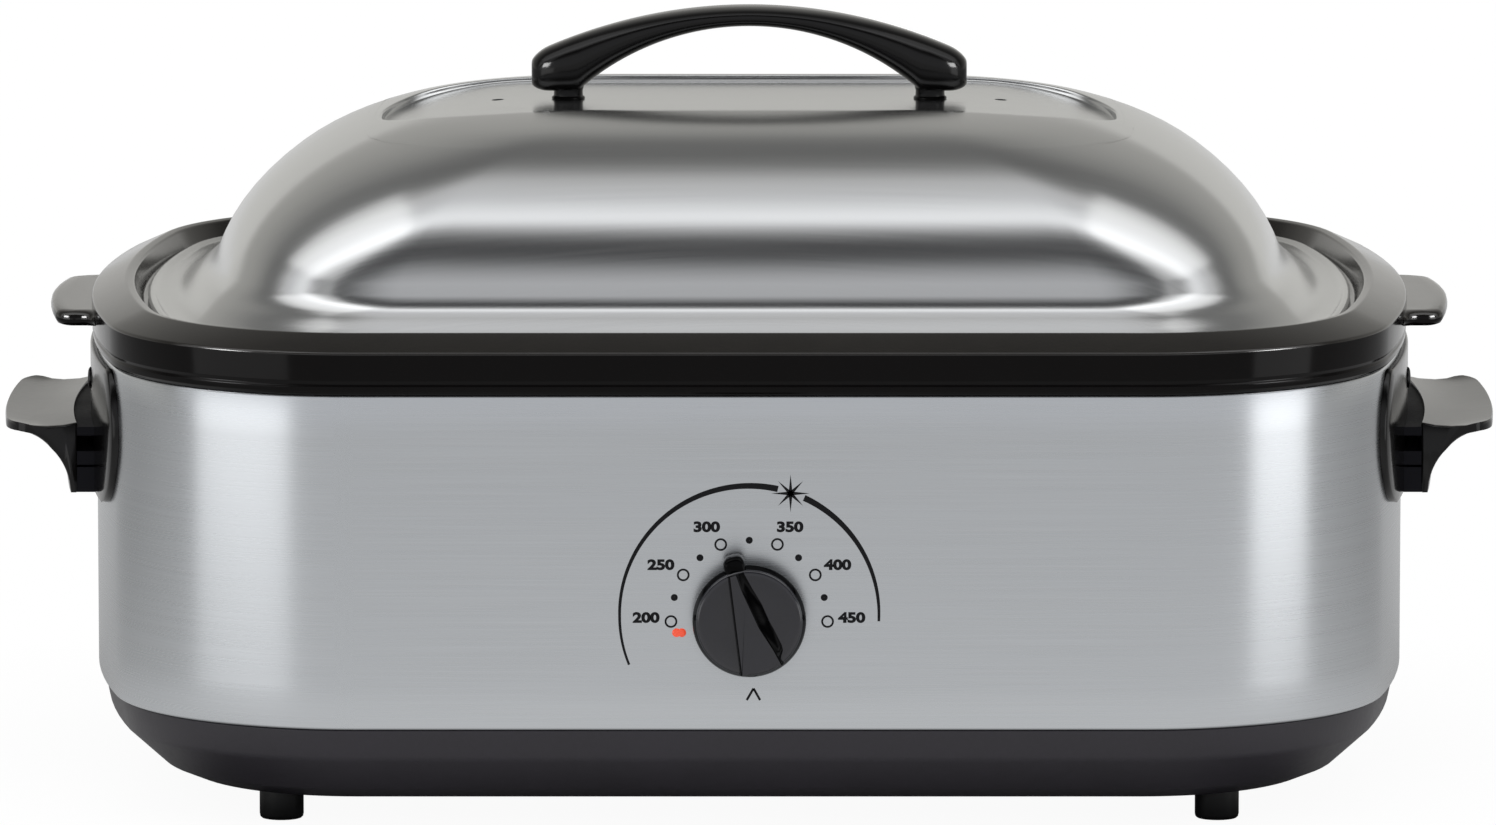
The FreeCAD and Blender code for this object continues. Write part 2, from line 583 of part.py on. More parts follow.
# ---------------------------------------------------------------- thermostat, shaft, bracket, lamp
inner_face = "(shell_front + sheet_wall)"
bracket_back = f"({inner_face} + bracket_thickness)"
thermostat_back = f"({bracket_back} + thermostat_depth)"
bracket = box("bracket_plate", ("-bracket_width / 2", inner_face, "knob_height - thermostat_size / 2"),
              ("bracket_width / 2", bracket_back, "knob_height + thermostat_size / 2"))
bracket_hole = rod("bracket_hole", ("0", "shell_front", "knob_height"), "shaft_diameter + 4", "8", "y")
bracket_screw_x = "(bracket_width / 2 - bracket_screw_inset)"
bracket_screw_points = [(x, "knob_height + bracket_screw_rise") for x in (f"-{bracket_screw_x}", bracket_screw_x)]
bracket_screw_holes = screw_holes("bracket_screw_holes", [(x, "shell_front - 1", z) for x, z in bracket_screw_points],
                                  "small_screw_diameter", "sheet_wall + bracket_thickness + 3", "y")
lens_clear = box("lens_clear", ("lamp_offset - lens_width / 2 - 1", "shell_front",
                                "knob_height - lamp_drop - lens_height / 2 - 1"),
                 ("lamp_offset + lens_width / 2 + 1", "shell_front + 6",
                  "knob_height - lamp_drop + lens_height / 2 + 1"))
keep(cut("bracket_cut", bracket, bracket_hole, bracket_screw_holes, lens_clear), "thermostat_bracket")
keep(group("bracket_screw_set", [
    fuse(f"bracket_screw_{i}",
         rod(f"bracket_screw_{i}_shank", (x, inner_face, z), "small_screw_diameter", "bracket_thickness", "y"),
         rod(f"bracket_screw_{i}_head", (x, bracket_back, z), "2 * small_screw_diameter", "small_head_height", "y"))
    for i, (x, z) in enumerate(bracket_screw_points)]), "bracket_screws")
case = box("thermostat_case", ("-thermostat_size / 2", bracket_back, "knob_height - thermostat_size / 2"),
           ("thermostat_size / 2", thermostat_back, "knob_height + thermostat_size / 2"))
shaft_bore = rod("shaft_bore", ("0", f"{bracket_back} - 1", "knob_height"),
                 "shaft_diameter + 2 * shaft_clearance", "thermostat_depth - 2", "y")
keep(cut("thermostat_cut", case, shaft_bore), "thermostat_body")
keep(box("sensor", ("-sensor_half_width", thermostat_back, "knob_height - sensor_drop"),
         ("sensor_half_width", "shell_front + liner_inset - band_thickness - sensor_gap",
          "knob_height + sensor_rise")), "sensor_strap")

lens_back = f"({inner_face} + lens_tail)"
lens_low = ("lamp_offset - lens_width / 2", "shell_front - lens_proud", "knob_height - lamp_drop - lens_height / 2")
lens_high = ("lamp_offset + lens_width / 2", lens_back, "knob_height - lamp_drop + lens_height / 2")
keep(box("lens_block", lens_low, lens_high), "pilot_lens")
lamp_z = "(knob_height - lamp_drop)"
keep(rod("neon_bulb", ("lamp_offset", lens_back, lamp_z), "neon_diameter", "neon_length", "y"), "neon_lamp")
holder_back = f"({lens_back} + neon_length)"
holder = box("holder_block", ("lamp_offset - holder_half_width", bracket_back, f"{lamp_z} - holder_half_height"),
             ("lamp_offset + holder_half_width", f"{holder_back} + holder_wall",
              f"{lamp_z} + holder_half_height"))
holder_hole = box("holder_hole", ("lamp_offset - lens_width / 2", bracket_back, f"{lamp_z} - lens_height / 2"),
                  ("lamp_offset + lens_width / 2", holder_back, f"{lamp_z} + lens_height / 2"))
keep(cut("holder_cut", holder, holder_hole), "lamp_holder")

# ---------------------------------------------------------------- cord gland and wiring
gland_body = box("gland_body", ("gland_offset - gland_size / 2", "half_width + gland_plate_thickness - gland_depth",
                                f"{gland_z} - gland_size / 2"),
                 ("gland_offset + gland_size / 2", "half_width", f"{gland_z} + gland_size / 2"))
gland_plate = box("gland_plate", ("gland_offset - gland_flange / 2", "half_width", f"{gland_z} - gland_flange / 2"),
                  ("gland_offset + gland_flange / 2", "half_width + gland_plate_thickness",
                   f"{gland_z} + gland_flange / 2"))
gland_hole_tool = rod("gland_bore_tool", ("gland_offset", "half_width - gland_depth", gland_z),
                      "gland_bore", "gland_depth + 4", "y")
keep(cut("gland_cut", fuse("gland_form", gland_body, gland_plate), gland_hole_tool), "cord_gland")

block_front = "(pan_screw_spacing / 2 + block_gap)"
keep(box("terminal_strip", ("-block_left", block_front, "foot_height + pan_wall"),
         ("block_right", f"{block_front} + block_depth", "foot_height + pan_wall + block_height")), "terminal_block")
keep(rod("fuse_case", ("thermostat_size / 2 + fuse_gap", f"{bracket_back} + fuse_diameter / 2",
                       "knob_height - fuse_drop"), "fuse_diameter", "thermostat_depth", "z"), "thermal_fuse")


def tube(node, points, diameter, bend):
    """A wire or lead along straight runs joined by tangent arcs, from points in the oven's frame."""
    spots = [FreeCAD.Vector(*[value(text) for text in spot]) for spot in points]
    edges = []
    start = spots[0]
    for before, corner, after in zip(spots, spots[1:], spots[2:]):
        way_in = (corner - before).normalize()
        way_out = (after - corner).normalize()
        half_turn = way_in.getAngle(way_out) / 2
        reach = bend * math.tan(half_turn)
        arc_start = corner - way_in * reach
        arc_end = corner + way_out * reach
        middle_way = (way_out - way_in).normalize()
        arc_middle = corner + middle_way * (bend / math.cos(half_turn) - bend)
        edges.append(Part.makeLine(start, arc_start))
        edges.append(Part.Arc(arc_start, arc_middle, arc_end).toShape())
        start = arc_end
    edges.append(Part.makeLine(start, spots[-1]))
    path = Part.Wire(edges)
    heading = (spots[1] - spots[0]).normalize()
    section = Part.Wire([Part.makeCircle(diameter / 2, spots[0], heading)])
    item = doc.addObject("Part::Feature", node + "_run")
    item.Shape = path.makePipeShell([section], True, False)
    return item


lead, lead_bend = value("lead_diameter"), value("lead_bend")
lead_z = "(foot_height + pan_wall + lead_run_lift)"
riser_y = f"({thermostat_back} - lead_inset)"
case_bottom = "(knob_height - thermostat_size / 2)"
for node, x_case, x_block in (("lead_live", "lead_live_x", "post_live_x"),
                              ("lead_load", "lead_load_x", "post_load_x")):
    keep(tube(node, [(x_case, riser_y, case_bottom), (x_case, riser_y, lead_z),
                     (x_block, f"{block_front} - lead_end_gap", lead_z)], lead, lead_bend), node)
lug_x = "(clamp_opening / 2 - lug_thickness / 2)"
keep(tube("lead_heater", [(lug_x, f"{block_front} + block_depth", lead_z), (lug_x, clamp_screw_y, lead_z),
                          (lug_x, clamp_screw_y, lug_foot)], lead, lead_bend), "lead_heater")


# ---------------------------------------------------------------- cookwell
bead_inner = "(rim_overhang - bead_depth)"
skirt_inner = "(rim_overhang - enamel_wall)"
recess_wall = "(-recess_inset + enamel_wall)"
rim_under = "(rim_corner - enamel_wall)"
well = new_body("cookwell_form")
pad(well, "rim_block", "shell_top", "rim_height", offset_curve("rim_overhang"))
loft(well, "rim_slope", [("rim_corner", offset_curve("rim_overhang")),
                         ("rim_crest", offset_curve("-crest_inset"))])
pocket(well, "recess_cut", "ledge_top", "rim_crest + 5 - ledge_top", offset_curve("-recess_inset"))
pocket(well, "bead_cut", "shell_top", "bead_height", offset_curve(bead_inner))
pocket(well, "skirt_cut", "shell_top + bead_height", "ledge_height - bead_height - enamel_wall",
       offset_curve(skirt_inner))
pocket(well, "channel_cut", "ledge_top - enamel_wall", f"{rim_under} - ledge_top + enamel_wall",
       offset_curve(skirt_inner), offset_curve(recess_wall))


def well_levels(wall, mouth_height):
    """The cookwell's form from its floor up: a rounded edge, then a slightly flared wall."""
    foot = f"({wall} - well_inset - well_taper)"
    radius = f"(well_floor_radius + {wall})"
    levels = [(f"well_floor - {wall} + {radius} * (1 - sin({angle}))",
               offset_curve(f"{foot} - {radius} * (1 - cos({angle}))")) for angle in (90, 60, 30, 0)]
    return levels + [(mouth_height, offset_curve(f"{wall} - well_inset"))]


loft(well, "well_outer", well_levels("enamel_wall", "ledge_top"))
hollow = new_body("well_hollow")
loft(hollow, "well_inner", well_levels("0", "ledge_top + 1"))

ear_top = "(rim_corner - ear_drop)"
ear_slabs = []
for side, start, end in (("left", "-half_length - ear_reach", "-half_length + 1"),
                         ("right", "half_length - 1", "half_length + ear_reach")):
    slab = box(f"ear_{side}", (start, "-ear_width / 2", f"{ear_top} - ear_thickness"), (end, "ear_width / 2", ear_top))
    rounded = doc.addObject("Part::Fillet", f"ear_{side}_round")
    rounded.Base = slab
    ear_slabs.append(rounded)
doc.recompute()
for side, rounded in zip((-1, 1), ear_slabs):
    tip_x = side * (value("half_length") + value("ear_reach"))
    upright = [i + 1 for i, edge in enumerate(rounded.Base.Shape.Edges)
               if edge.BoundBox.ZLength > 1 and abs(edge.CenterOfMass.x - tip_x) < 0.1]
    rounded.Edges = [(i, value("ear_corner"), value("ear_corner")) for i in upright]
keep(cut("cookwell_cut", fuse("cookwell_joined", well, *ear_slabs), hollow), "cookwell")

# ---------------------------------------------------------------- rack
wire_level = "(well_floor + rack_height)"
frame_x = "(rack_length / 2 - frame_wire / 2)"
frame_y = "(rack_width / 2 - frame_wire / 2)"
frame = []
for i, y in enumerate((f"-{frame_y}", frame_y)):
    frame.append(rod(f"frame_side_{i}", (f"-{frame_x} + rack_corner", y, wire_level), "frame_wire",
                     f"2 * ({frame_x} - rack_corner)", "x"))
for i, x in enumerate((f"-{frame_x}", frame_x)):
    frame.append(rod(f"frame_end_{i}", (x, f"-{frame_y} + rack_corner", wire_level), "frame_wire",
                     f"2 * ({frame_y} - rack_corner)", "y"))
for i, (x, y) in enumerate(((1, 1), (-1, 1), (-1, -1), (1, -1))):
    bend = doc.addObject("Part::Torus", f"frame_bend_{i}")
    bind(bend, "Radius1", "rack_corner")
    bind(bend, "Radius2", "frame_wire / 2")
    bend.Angle3 = 90
    bend.Placement.Rotation = FreeCAD.Rotation(FreeCAD.Vector(0, 0, 1), 90 * i)
    frame.append(place(bend, f"{x} * ({frame_x} - rack_corner)", f"{y} * ({frame_y} - rack_corner)", wire_level))
keep(fuse("rack_frame_form", *frame), "rack_frame")

cross_level = f"({wire_level} + frame_wire / 2 + cross_wire / 2)"
count = round(value("wire_count"))
keep(group("rack_wire_set", [
    rod(f"cross_wire_{i}", (f"wire_pitch * ({i} - (wire_count - 1) / 2)", f"-{frame_y}", cross_level), "cross_wire",
        f"2 * {frame_y}", "y") for i in range(count)]), "rack_wires")
for side, sign in (("left", "-"), ("right", "")):
    x = f"{sign}(rack_length / 2 + frame_wire / 2)"
    foot_level = "well_floor"
    top_level = "(well_floor + lift_height - frame_wire / 2)"
    keep(tube(f"rack_lift_{side}", [(x, "-lift_width / 2", foot_level), (x, "-lift_width / 2", top_level),
                                    (x, "lift_width / 2", top_level), (x, "lift_width / 2", foot_level)],
              value("frame_wire"), value("lift_bend")), f"rack_lift_{side}")

# ---------------------------------------------------------------- lid
def dome_curve(angle, wall):
    """A plan outline of the dome at an angle up its quarter-ellipse profile."""
    spread = f"cos({angle})"
    lift = f"sin({angle})"
    return (f"flange_top + (dome_height - ({wall})) * {lift}",
            (f"crown_half_length + (dome_rise_x - ({wall})) * {spread}",
             f"crown_half_width + (dome_rise_y - ({wall})) * {spread}",
             f"crown_corner + (dome_corner - crown_corner - ({wall})) * {spread}",
             "end_bow_radius - dome_inset"))


def dome(name, wall):
    body = new_body(name)
    levels = [dome_curve(angle, wall) for angle in range(0, 91, 15)]
    loft(body, name + "_loft", levels, ruled=False)
    return body


def arch_core(name, depth):
    """What stays under the sunk panel: the dome's lengthwise profile, lowered, right across the lid."""
    ends = []
    for i, side in enumerate(("-", "")):
        curve = doc.addObject("Part::Ellipse", f"{name}_end_{i}")
        bind(curve, "MajorRadius", f"dome_rise_x - ({depth})")
        bind(curve, "MinorRadius", f"dome_height - ({depth})")
        curve.Placement.Rotation = FreeCAD.Rotation(FreeCAD.Vector(1, 0, 0), 90)
        place(curve, f"{side}crown_half_length", "crown_half_width + panel_reach", "flange_top")
        run = doc.addObject("Part::Extrusion", f"{name}_run_{i}")
        run.Base = curve
        run.DirMode = "Custom"
        run.Dir = FreeCAD.Vector(0, -1, 0)
        run.Solid = True
        bind(run, "LengthFwd", "2 * crown_half_width + 2 * panel_reach")
        ends.append(run)
    middle = box(f"{name}_middle", ("-crown_half_length", "-crown_half_width - panel_reach", "flange_top"),
                 ("crown_half_length", "crown_half_width + panel_reach", f"crown_top - ({depth})"))
    return fuse(name, middle, *ends)


def panel_tool(name, depth, grow):
    plan = (f"panel_half_length + ({grow})", f"panel_half_width + ({grow})", f"panel_corner + ({grow})",
            "end_bow_radius")
    block = prism(name + "_block", "flange_top + 10", "dome_height", plan)
    return cut(name, block, arch_core(name + "_core", depth))


lid_edge = "(-recess_inset - lid_gap)"
flange = prism("lid_flange", "flange_top - sheet_wall", "sheet_wall", offset_curve(f"{lid_edge} - 1"))
lid_bead = prism("lid_bead", "ledge_top", "lid_bead_height",
                 offset_curve(lid_edge), offset_curve(f"{lid_edge} - lid_bead_width"))
lid_outside = fuse("lid_outside", cut("dome_outside", dome("dome_outer", "0"),
                                      panel_tool("panel_outside", "panel_depth", "0")),
                   flange, lid_bead)
lid_inside = cut("dome_inside", dome("dome_inner", "sheet_wall"),
                 panel_tool("panel_inside", "panel_depth + sheet_wall", "sheet_wall"))
mouth_cut = prism("lid_mouth", "flange_top - sheet_wall - 1", "sheet_wall + 1", dome_curve(0, "sheet_wall")[1])
neck_rows = ("-neck_spacing / 2", "neck_spacing / 2")
neck_holes = screw_holes("neck_holes", [(x, "0", "panel_top - 6") for x in neck_rows], "lid_screw_diameter", "10", "z")
vents = screw_holes("vents", [(x, "3", "flange_top + dome_height / 2") for x in ("-vent_spacing / 2", "vent_spacing / 2")],
                    "vent_diameter", "dome_height", "z")
keep(cut("lid_cut", lid_outside, lid_inside, mouth_cut, neck_holes, vents), "lid_shell")

# ---------------------------------------------------------------- lid handle
arch_out = rod("handle_arch_out", ("0", "-handle_width / 2", "handle_top - handle_top_radius"),
               "2 * handle_top_radius", "handle_width", "y")
arch_in = rod("handle_arch_in", ("0", "-handle_width / 2 - 1", "handle_top - handle_thickness - handle_grip_radius"),
              "2 * handle_grip_radius", "handle_width + 2", "y")
arch_box = box("handle_box", ("-handle_length / 2", "-handle_width / 2", "handle_bottom"),
               ("handle_length / 2", "handle_width / 2", "handle_top + 1"))
bar = cut("handle_bar", common("handle_outline", arch_out, arch_box), arch_in)
doc.recompute()
rounded_bar = doc.addObject("Part::Fillet", "handle_bar_round")
rounded_bar.Base = bar
end_x = value("handle_length") / 2
end_edges = [(i + 1, edge.BoundBox.ZMin) for i, edge in enumerate(bar.Shape.Edges)
             if edge.BoundBox.YLength > 5 and abs(abs(edge.CenterOfMass.x) - end_x) < 0.5]
end_heights = [height for _, height in end_edges]
end_wall = max(end_heights) - min(end_heights)
foot_round = value("handle_foot_round")
end_round = min(value("handle_end_round"), end_wall - foot_round - 0.2)
rounded_bar.Edges = [(i, radius, radius) for i, radius in
                     ((i, foot_round if height < min(end_heights) + 0.1 else end_round) for i, height in end_edges)]
necks = [rod(f"neck_{i}", (x, "0", "panel_top"), "neck_diameter", "neck_height + 2") for i, x in enumerate(neck_rows)]
screw_sockets = screw_holes("handle_sockets", [(x, "0", "panel_top - 1") for x in neck_rows],
                            "lid_screw_diameter", "lid_screw_depth + 1", "z")
keep(cut("handle_cut", fuse("handle_form", rounded_bar, *necks), screw_sockets), "lid_handle")
washer_top = "(panel_top - sheet_wall)"
washer_low = f"({washer_top} - washer_thickness)"
keep(group("lid_washer_set", [
    cut(f"lid_washer_{i}", rod(f"lid_washer_{i}_disc", (x, "0", washer_low), "lid_washer_diameter", "washer_thickness"),
        rod(f"lid_washer_{i}_hole", (x, "0", f"{washer_low} - 1"), "lid_screw_diameter", "washer_thickness + 2"))
    for i, x in enumerate(neck_rows)]), "lid_washers")
keep(group("lid_screw_set", [screw(f"lid_screw_{i}", x, "0", "panel_top + lid_screw_depth", washer_low,
                                   "lid_screw_diameter", False) for i, x in enumerate(neck_rows)]), "lid_screws")

# ---------------------------------------------------------------- side handles
handle_low = "(side_handle_top - side_handle_drop)"
plate_top = "(side_handle_top + side_handle_plate_rise)"
wall_in = "(side_handle_plate + side_handle_slot)"
wall_out = f"({wall_in} + side_handle_wall)"
half_handle = "side_handle_width / 2"


def end_slice(name, side, inner, outer, bottom, top, half_span):
    """The piece between two parallel plan curves at one end of the oven."""
    ring = prism(name + "_ring", bottom, f"({top}) - ({bottom})", offset_curve(outer), offset_curve(inner))
    low_x, high_x = ("0", "half_length + 60") if side > 0 else ("-half_length - 60", "0")
    window = box(name + "_window", (low_x, f"-({half_span})", f"({bottom}) - 1"), (high_x, half_span, f"({top}) + 1"))
    return common(name, ring, window)


def wing(name, side):
    """The overhanging grip: a slab out to the tip, hollowed below by a round under-curve."""
    slab = end_slice(name + "_slab", side, wall_in, "side_handle_reach", handle_low, "side_handle_top", half_handle)
    drop = "(side_handle_drop - wing_thickness)"
    centre = f"half_length + {wall_out} + {drop}"
    curve = rod(name + "_under", (centre if side > 0 else f"-({centre})", "-side_handle_width / 2 - 5", handle_low),
                f"2 * {drop}", "side_handle_width + 10", "y")
    outer = f"{centre} + 40"
    low_x, high_x = (centre, outer) if side > 0 else (f"-({outer})", f"-({centre})")
    beyond = box(name + "_beyond", (low_x, "-side_handle_width / 2 - 5", f"{handle_low} - 1"),
                 (high_x, "side_handle_width / 2 + 5", f"{handle_low} + {drop}"))
    return cut(name, slab, curve, beyond)


def back_plate(name, side):
    """The escutcheon on the shell's end: it follows the shell round and has rounded ends."""
    round_z = f"({plate_top} - plate_end_drop)"
    flat = "(side_plate_span / 2 - side_plate_end_radius)"
    band = end_slice(name + "_band", side, "0", "side_handle_plate", handle_low, plate_top, "side_plate_span / 2")
    start = "0" if side > 0 else "-half_length - 20"
    block = box(name + "_block", (start, f"-{flat}", f"{handle_low} - 1"),
                (f"{start} + half_length + 20", flat, f"{plate_top} + 1"))
    ends = [rod(f"{name}_end_{i}", (start, y, round_z), "2 * side_plate_end_radius", "half_length + 20", "x")
            for i, y in enumerate((f"-{flat}", flat))]
    return common(name, band, fuse(name + "_window_form", block, *ends))


webs = [(f"side_handle_top - {low}", f"side_handle_top - {high}") for low, high in (
    ("upper_web_bottom", "upper_web_top"), ("middle_web_bottom", "middle_web_top"), ("side_handle_drop", "lower_web_top"))]
backing_out = "(sheet_wall + backing_gap)"
backing_in = f"({backing_out} + backing_thickness)"
for node, side in (("left", -1), ("right", 1)):
    sign = "-" if side < 0 else ""
    plate = back_plate(f"plate_{node}", side)
    ties = [end_slice(f"web_{node}_{i}", side, "side_handle_plate - web_overlap", f"{wall_in} + web_overlap",
                      bottom, top, half_handle) for i, (bottom, top) in enumerate(webs)]
    holes = screw_holes(f"side_holes_{node}", [
        (f"{sign}half_length - 10", y, side_screw_z) for y in side_screw_rows], "side_screw_diameter", "20", "x")
    keep(cut(f"side_handle_{node}_cut", fuse(f"side_handle_{node}_form", plate, wing(f"wing_{node}", side), *ties),
             holes), f"side_handle_{node}")
    backing = end_slice(f"backing_{node}", side, f"-{backing_in}", f"-{backing_out}",
                        f"{side_screw_z} - backing_half_height", f"{side_screw_z} + backing_half_height",
                        "side_screw_spacing / 2 + backing_margin")
    backing_holes = screw_holes(f"backing_holes_{node}", [
        (f"{sign}half_length - 10", y, side_screw_z) for y in side_screw_rows], "side_screw_diameter", "20", "x")
    keep(cut(f"backing_{node}_cut", backing, backing_holes), f"handle_backing_{node}")

screws = []
screw_length = f"(side_handle_plate + {backing_in} + side_screw_spare)"
for sign in ("-", ""):
    for y in side_screw_rows:
        face = f"(half_length + side_handle_plate - {bow_drop(y)} + head_tilt_gap)"
        shank_start = f"-{face}" if sign else f"{face} - {screw_length}"
        head_start = f"-{face} - side_head_height" if sign else face
        name = f"side_screw_{len(screws)}"
        screws.append(fuse(name, rod(name + "_shank", (shank_start, y, side_screw_z), "side_screw_diameter",
                                     screw_length, "x"),
                           rod(name + "_head", (head_start, y, side_screw_z), "side_head_diameter",
                               "side_head_height", "x")))
keep(group("side_screw_set", screws), "side_handle_screws")

# ---------------------------------------------------------------- knob
skirt_front = "(knob_gap + knob_skirt)"
skirt = rod("knob_skirt_disc", ("0", f"-{skirt_front}", "0"), "knob_diameter", "knob_skirt", "y")
grip = box("knob_grip_bar", ("-knob_grip_width / 2", f"-{skirt_front} - knob_grip", "-knob_diameter * 0.44"),
           ("knob_grip_width / 2", f"-{skirt_front} + 1", "knob_diameter * 0.44"))
nub = box("knob_nub", ("-nub_half_width", f"-{skirt_front} - 1", "knob_diameter * 0.4"),
          ("nub_half_width", "-knob_gap - 1", "knob_diameter / 2 + nub_reach"))
hub_length = "(knob_skirt + knob_grip - hub_wall)"
hub_end = f"(-knob_gap - {hub_length})"
clip_low = "(shaft_diameter / 2)"
clip_high = f"({clip_low} + clip_thickness)"
knob_bore = rod("knob_bore", ("0", hub_end, "0"), "shaft_diameter", f"{hub_length} + 2", "y")
clip_slot = box("knob_clip_slot", ("-clip_half_width - clip_play", hub_end, f"{clip_low} - 0.5"),
                ("clip_half_width + clip_play", "0", f"{clip_high} + clip_play"))
knob = cut("knob_cut", fuse("knob_form", skirt, grip, nub), knob_bore, clip_slot)
clip = box("knob_clip_strip", ("-clip_half_width", f"{hub_end} + 0.5", clip_low),
           ("clip_half_width", "-knob_gap - 0.5", clip_high))
clip_part = group("knob_clip_form", [clip])
for item, node in ((knob, "knob"), (clip_part, "knob_clip")):
    item.Placement.Rotation = FreeCAD.Rotation(FreeCAD.Vector(0, 1, 0), value("knob_rest_angle"))
    place(item, "0", "shell_front", "knob_height")
    keep(item, node)
shaft_tip = f"(shell_front + {hub_end})"
keep(rod("shaft_rod", ("0", shaft_tip, "knob_height"), "shaft_diameter",
         f"{thermostat_back} - shaft_stop - {shaft_tip}", "y"), "control_shaft")

# ---------------------------------------------------------------- check and export
doc.recompute()
for item in doc.Objects:
    if {"Invalid", "Error"} & set(item.State):
        raise SystemExit(f"{item.Name} failed: {item.State}")
os.makedirs("parts", exist_ok=True)
for item in subparts:
    shape = item.Shape
    if shape.isNull() or not shape.isValid() or not shape.Solids:
        raise SystemExit(f"{item.Label} has no valid shape")
    shape.exportStep(f"parts/{item.Label}.step")
    size = shape.BoundBox
    print(f"{item.Label:26s} solids {len(shape.Solids)}  volume {shape.Volume:11.1f}  "
          f"z {size.ZMin:7.2f} to {size.ZMax:7.2f}")
print(len(subparts), "sub-parts")
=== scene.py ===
# %% [markdown]
# # An electric roaster oven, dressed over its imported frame
# The frame brings every solid of the oven to the place where it belongs. This lesson gives
# those solids their looks: pressed and rolled steel sheet, black enamel, moulded plastic.
# Lengths are written in millimetres and turned into metres when a mesh is made.

# %% The frame
from math import asin, atan2, copysign, cos, degrees, dist, hypot, pi, radians, sin, sqrt, tan

import bmesh
import bpy
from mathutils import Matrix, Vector


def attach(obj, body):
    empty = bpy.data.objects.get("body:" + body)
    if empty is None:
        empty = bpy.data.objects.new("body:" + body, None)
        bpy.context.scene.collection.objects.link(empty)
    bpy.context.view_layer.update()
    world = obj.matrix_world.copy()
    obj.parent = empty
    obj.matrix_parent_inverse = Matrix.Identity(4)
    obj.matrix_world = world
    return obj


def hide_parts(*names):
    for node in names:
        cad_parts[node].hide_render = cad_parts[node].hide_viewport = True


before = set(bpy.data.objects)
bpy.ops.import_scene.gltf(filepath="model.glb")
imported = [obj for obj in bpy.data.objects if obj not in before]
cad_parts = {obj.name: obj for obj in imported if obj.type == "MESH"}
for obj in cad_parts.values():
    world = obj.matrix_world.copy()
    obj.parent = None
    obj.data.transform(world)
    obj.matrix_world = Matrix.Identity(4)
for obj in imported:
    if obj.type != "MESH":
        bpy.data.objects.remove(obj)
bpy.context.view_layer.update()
MM = 0.001
TURN = 2 * pi
CENTRE_Y = 8.5          # the oven's own middle stands this far behind the frame's origin
SIDES = ((-1, "left"), (1, "right"))

# %% [markdown]
# ## The camera
# A long lens far away keeps the verticals upright, as in a studio view of a product. The
# camera looks slightly down, so the rim of the oven and the top of its lid both show.


# %% The camera
def show(name, data):
    """A new object in the scene for a camera, a lamp, a curve or a mesh."""
    thing = bpy.data.objects.new(name, data)
    bpy.context.scene.collection.objects.link(thing)
    return thing


LOOK_DOWN, CAMERA_DISTANCE = radians(8.35), 5.5
LENS, SENSOR_WIDTH = 322.3, 36.0
look_at = Vector((-0.0005, 0.0085, 0.142))
camera = show("studio_camera", bpy.data.cameras.new("studio_camera"))
camera.data.lens, camera.data.sensor_width = LENS, SENSOR_WIDTH
camera.location = look_at + CAMERA_DISTANCE * Vector((0, -cos(LOOK_DOWN), sin(LOOK_DOWN)))
camera.rotation_euler = (pi / 2 - LOOK_DOWN, 0, 0)
bpy.context.scene.camera = camera
bpy.context.scene.view_settings.view_transform = "Standard"
print("camera at", tuple(round(v, 3) for v in camera.location))

# %% [markdown]
# ## Colours and node trees
# Colours are written as the 0 to 255 numbers that a screen shows, then made linear, because
# Blender mixes light in linear numbers. Every finish starts from the same few nodes.


# %% Colours and node trees
def screen(*channels):
    """A colour by its screen numbers, as linear red, green, blue and alpha."""
    parts = [channel / 255 for channel in channels]
    return tuple(part / 12.92 if part <= 0.04045 else ((part + 0.055) / 1.055) ** 2.4
                 for part in parts) + (1.0,)


def fill(tree, inputs, values):
    """Puts numbers or links on a node's inputs."""
    for key, value in values.items():
        if isinstance(value, bpy.types.NodeSocket):
            tree.links.new(value, inputs[key])
        else:
            inputs[key].default_value = value


def add_node(tree, kind, values=None, **settings):
    """The outputs of a new shader node, with its settings and what goes on its inputs."""
    node = tree.nodes.new("ShaderNode" + kind)
    for name, value in settings.items():
        setattr(node, name, value)
    fill(tree, node.inputs, values or {})
    return node.outputs


def maths(tree, operation, *values):
    """The result of one arithmetic node."""
    return add_node(tree, "Math", dict(enumerate(values)), operation=operation)[0]


def mix(tree, share, first, second):
    """One shader or another, or a share of both."""
    return add_node(tree, "MixShader", {0: share, 1: first, 2: second})[0]


def ramp(tree, value, stops):
    """A colour ramp from (position, colour) pairs."""
    node = tree.nodes.new("ShaderNodeValToRGB")
    fill(tree, node.inputs, {"Fac": value})
    marks = node.color_ramp.elements
    while len(marks) < len(stops):
        marks.new(0.5)
    for mark, (position, colour) in zip(marks, stops):
        mark.position, mark.color = position, colour
    return node.outputs["Color"]


def grey(light, warmth=0.0):
    """A linear grey, a little olive or, with a negative warmth, a little blue."""
    return (light * (1 + 0.3 * warmth), light, light * (1 - warmth), 1.0)


def empty_tree(owner):
    """The node tree of a material or a world, with nothing in it."""
    owner.use_nodes = True
    owner.node_tree.nodes.clear()
    return owner.node_tree


print("mid grey is", [round(part, 3) for part in screen(128, 128, 128)])

# %% [markdown]
# ## The studio
# Polished steel shows its surroundings, so the studio is built as a photographer would:
# a pale card in front, a dark gap, a bright soft box overhead, a second gap, and a dim warm
# wall behind. The bands run from left to right, so they only depend on the angle that a
# direction makes with the horizon in front. The camera itself sees plain white. A ramp holds
# no colour above 1, so the bands are halved in it, and the light's strength is doubled.

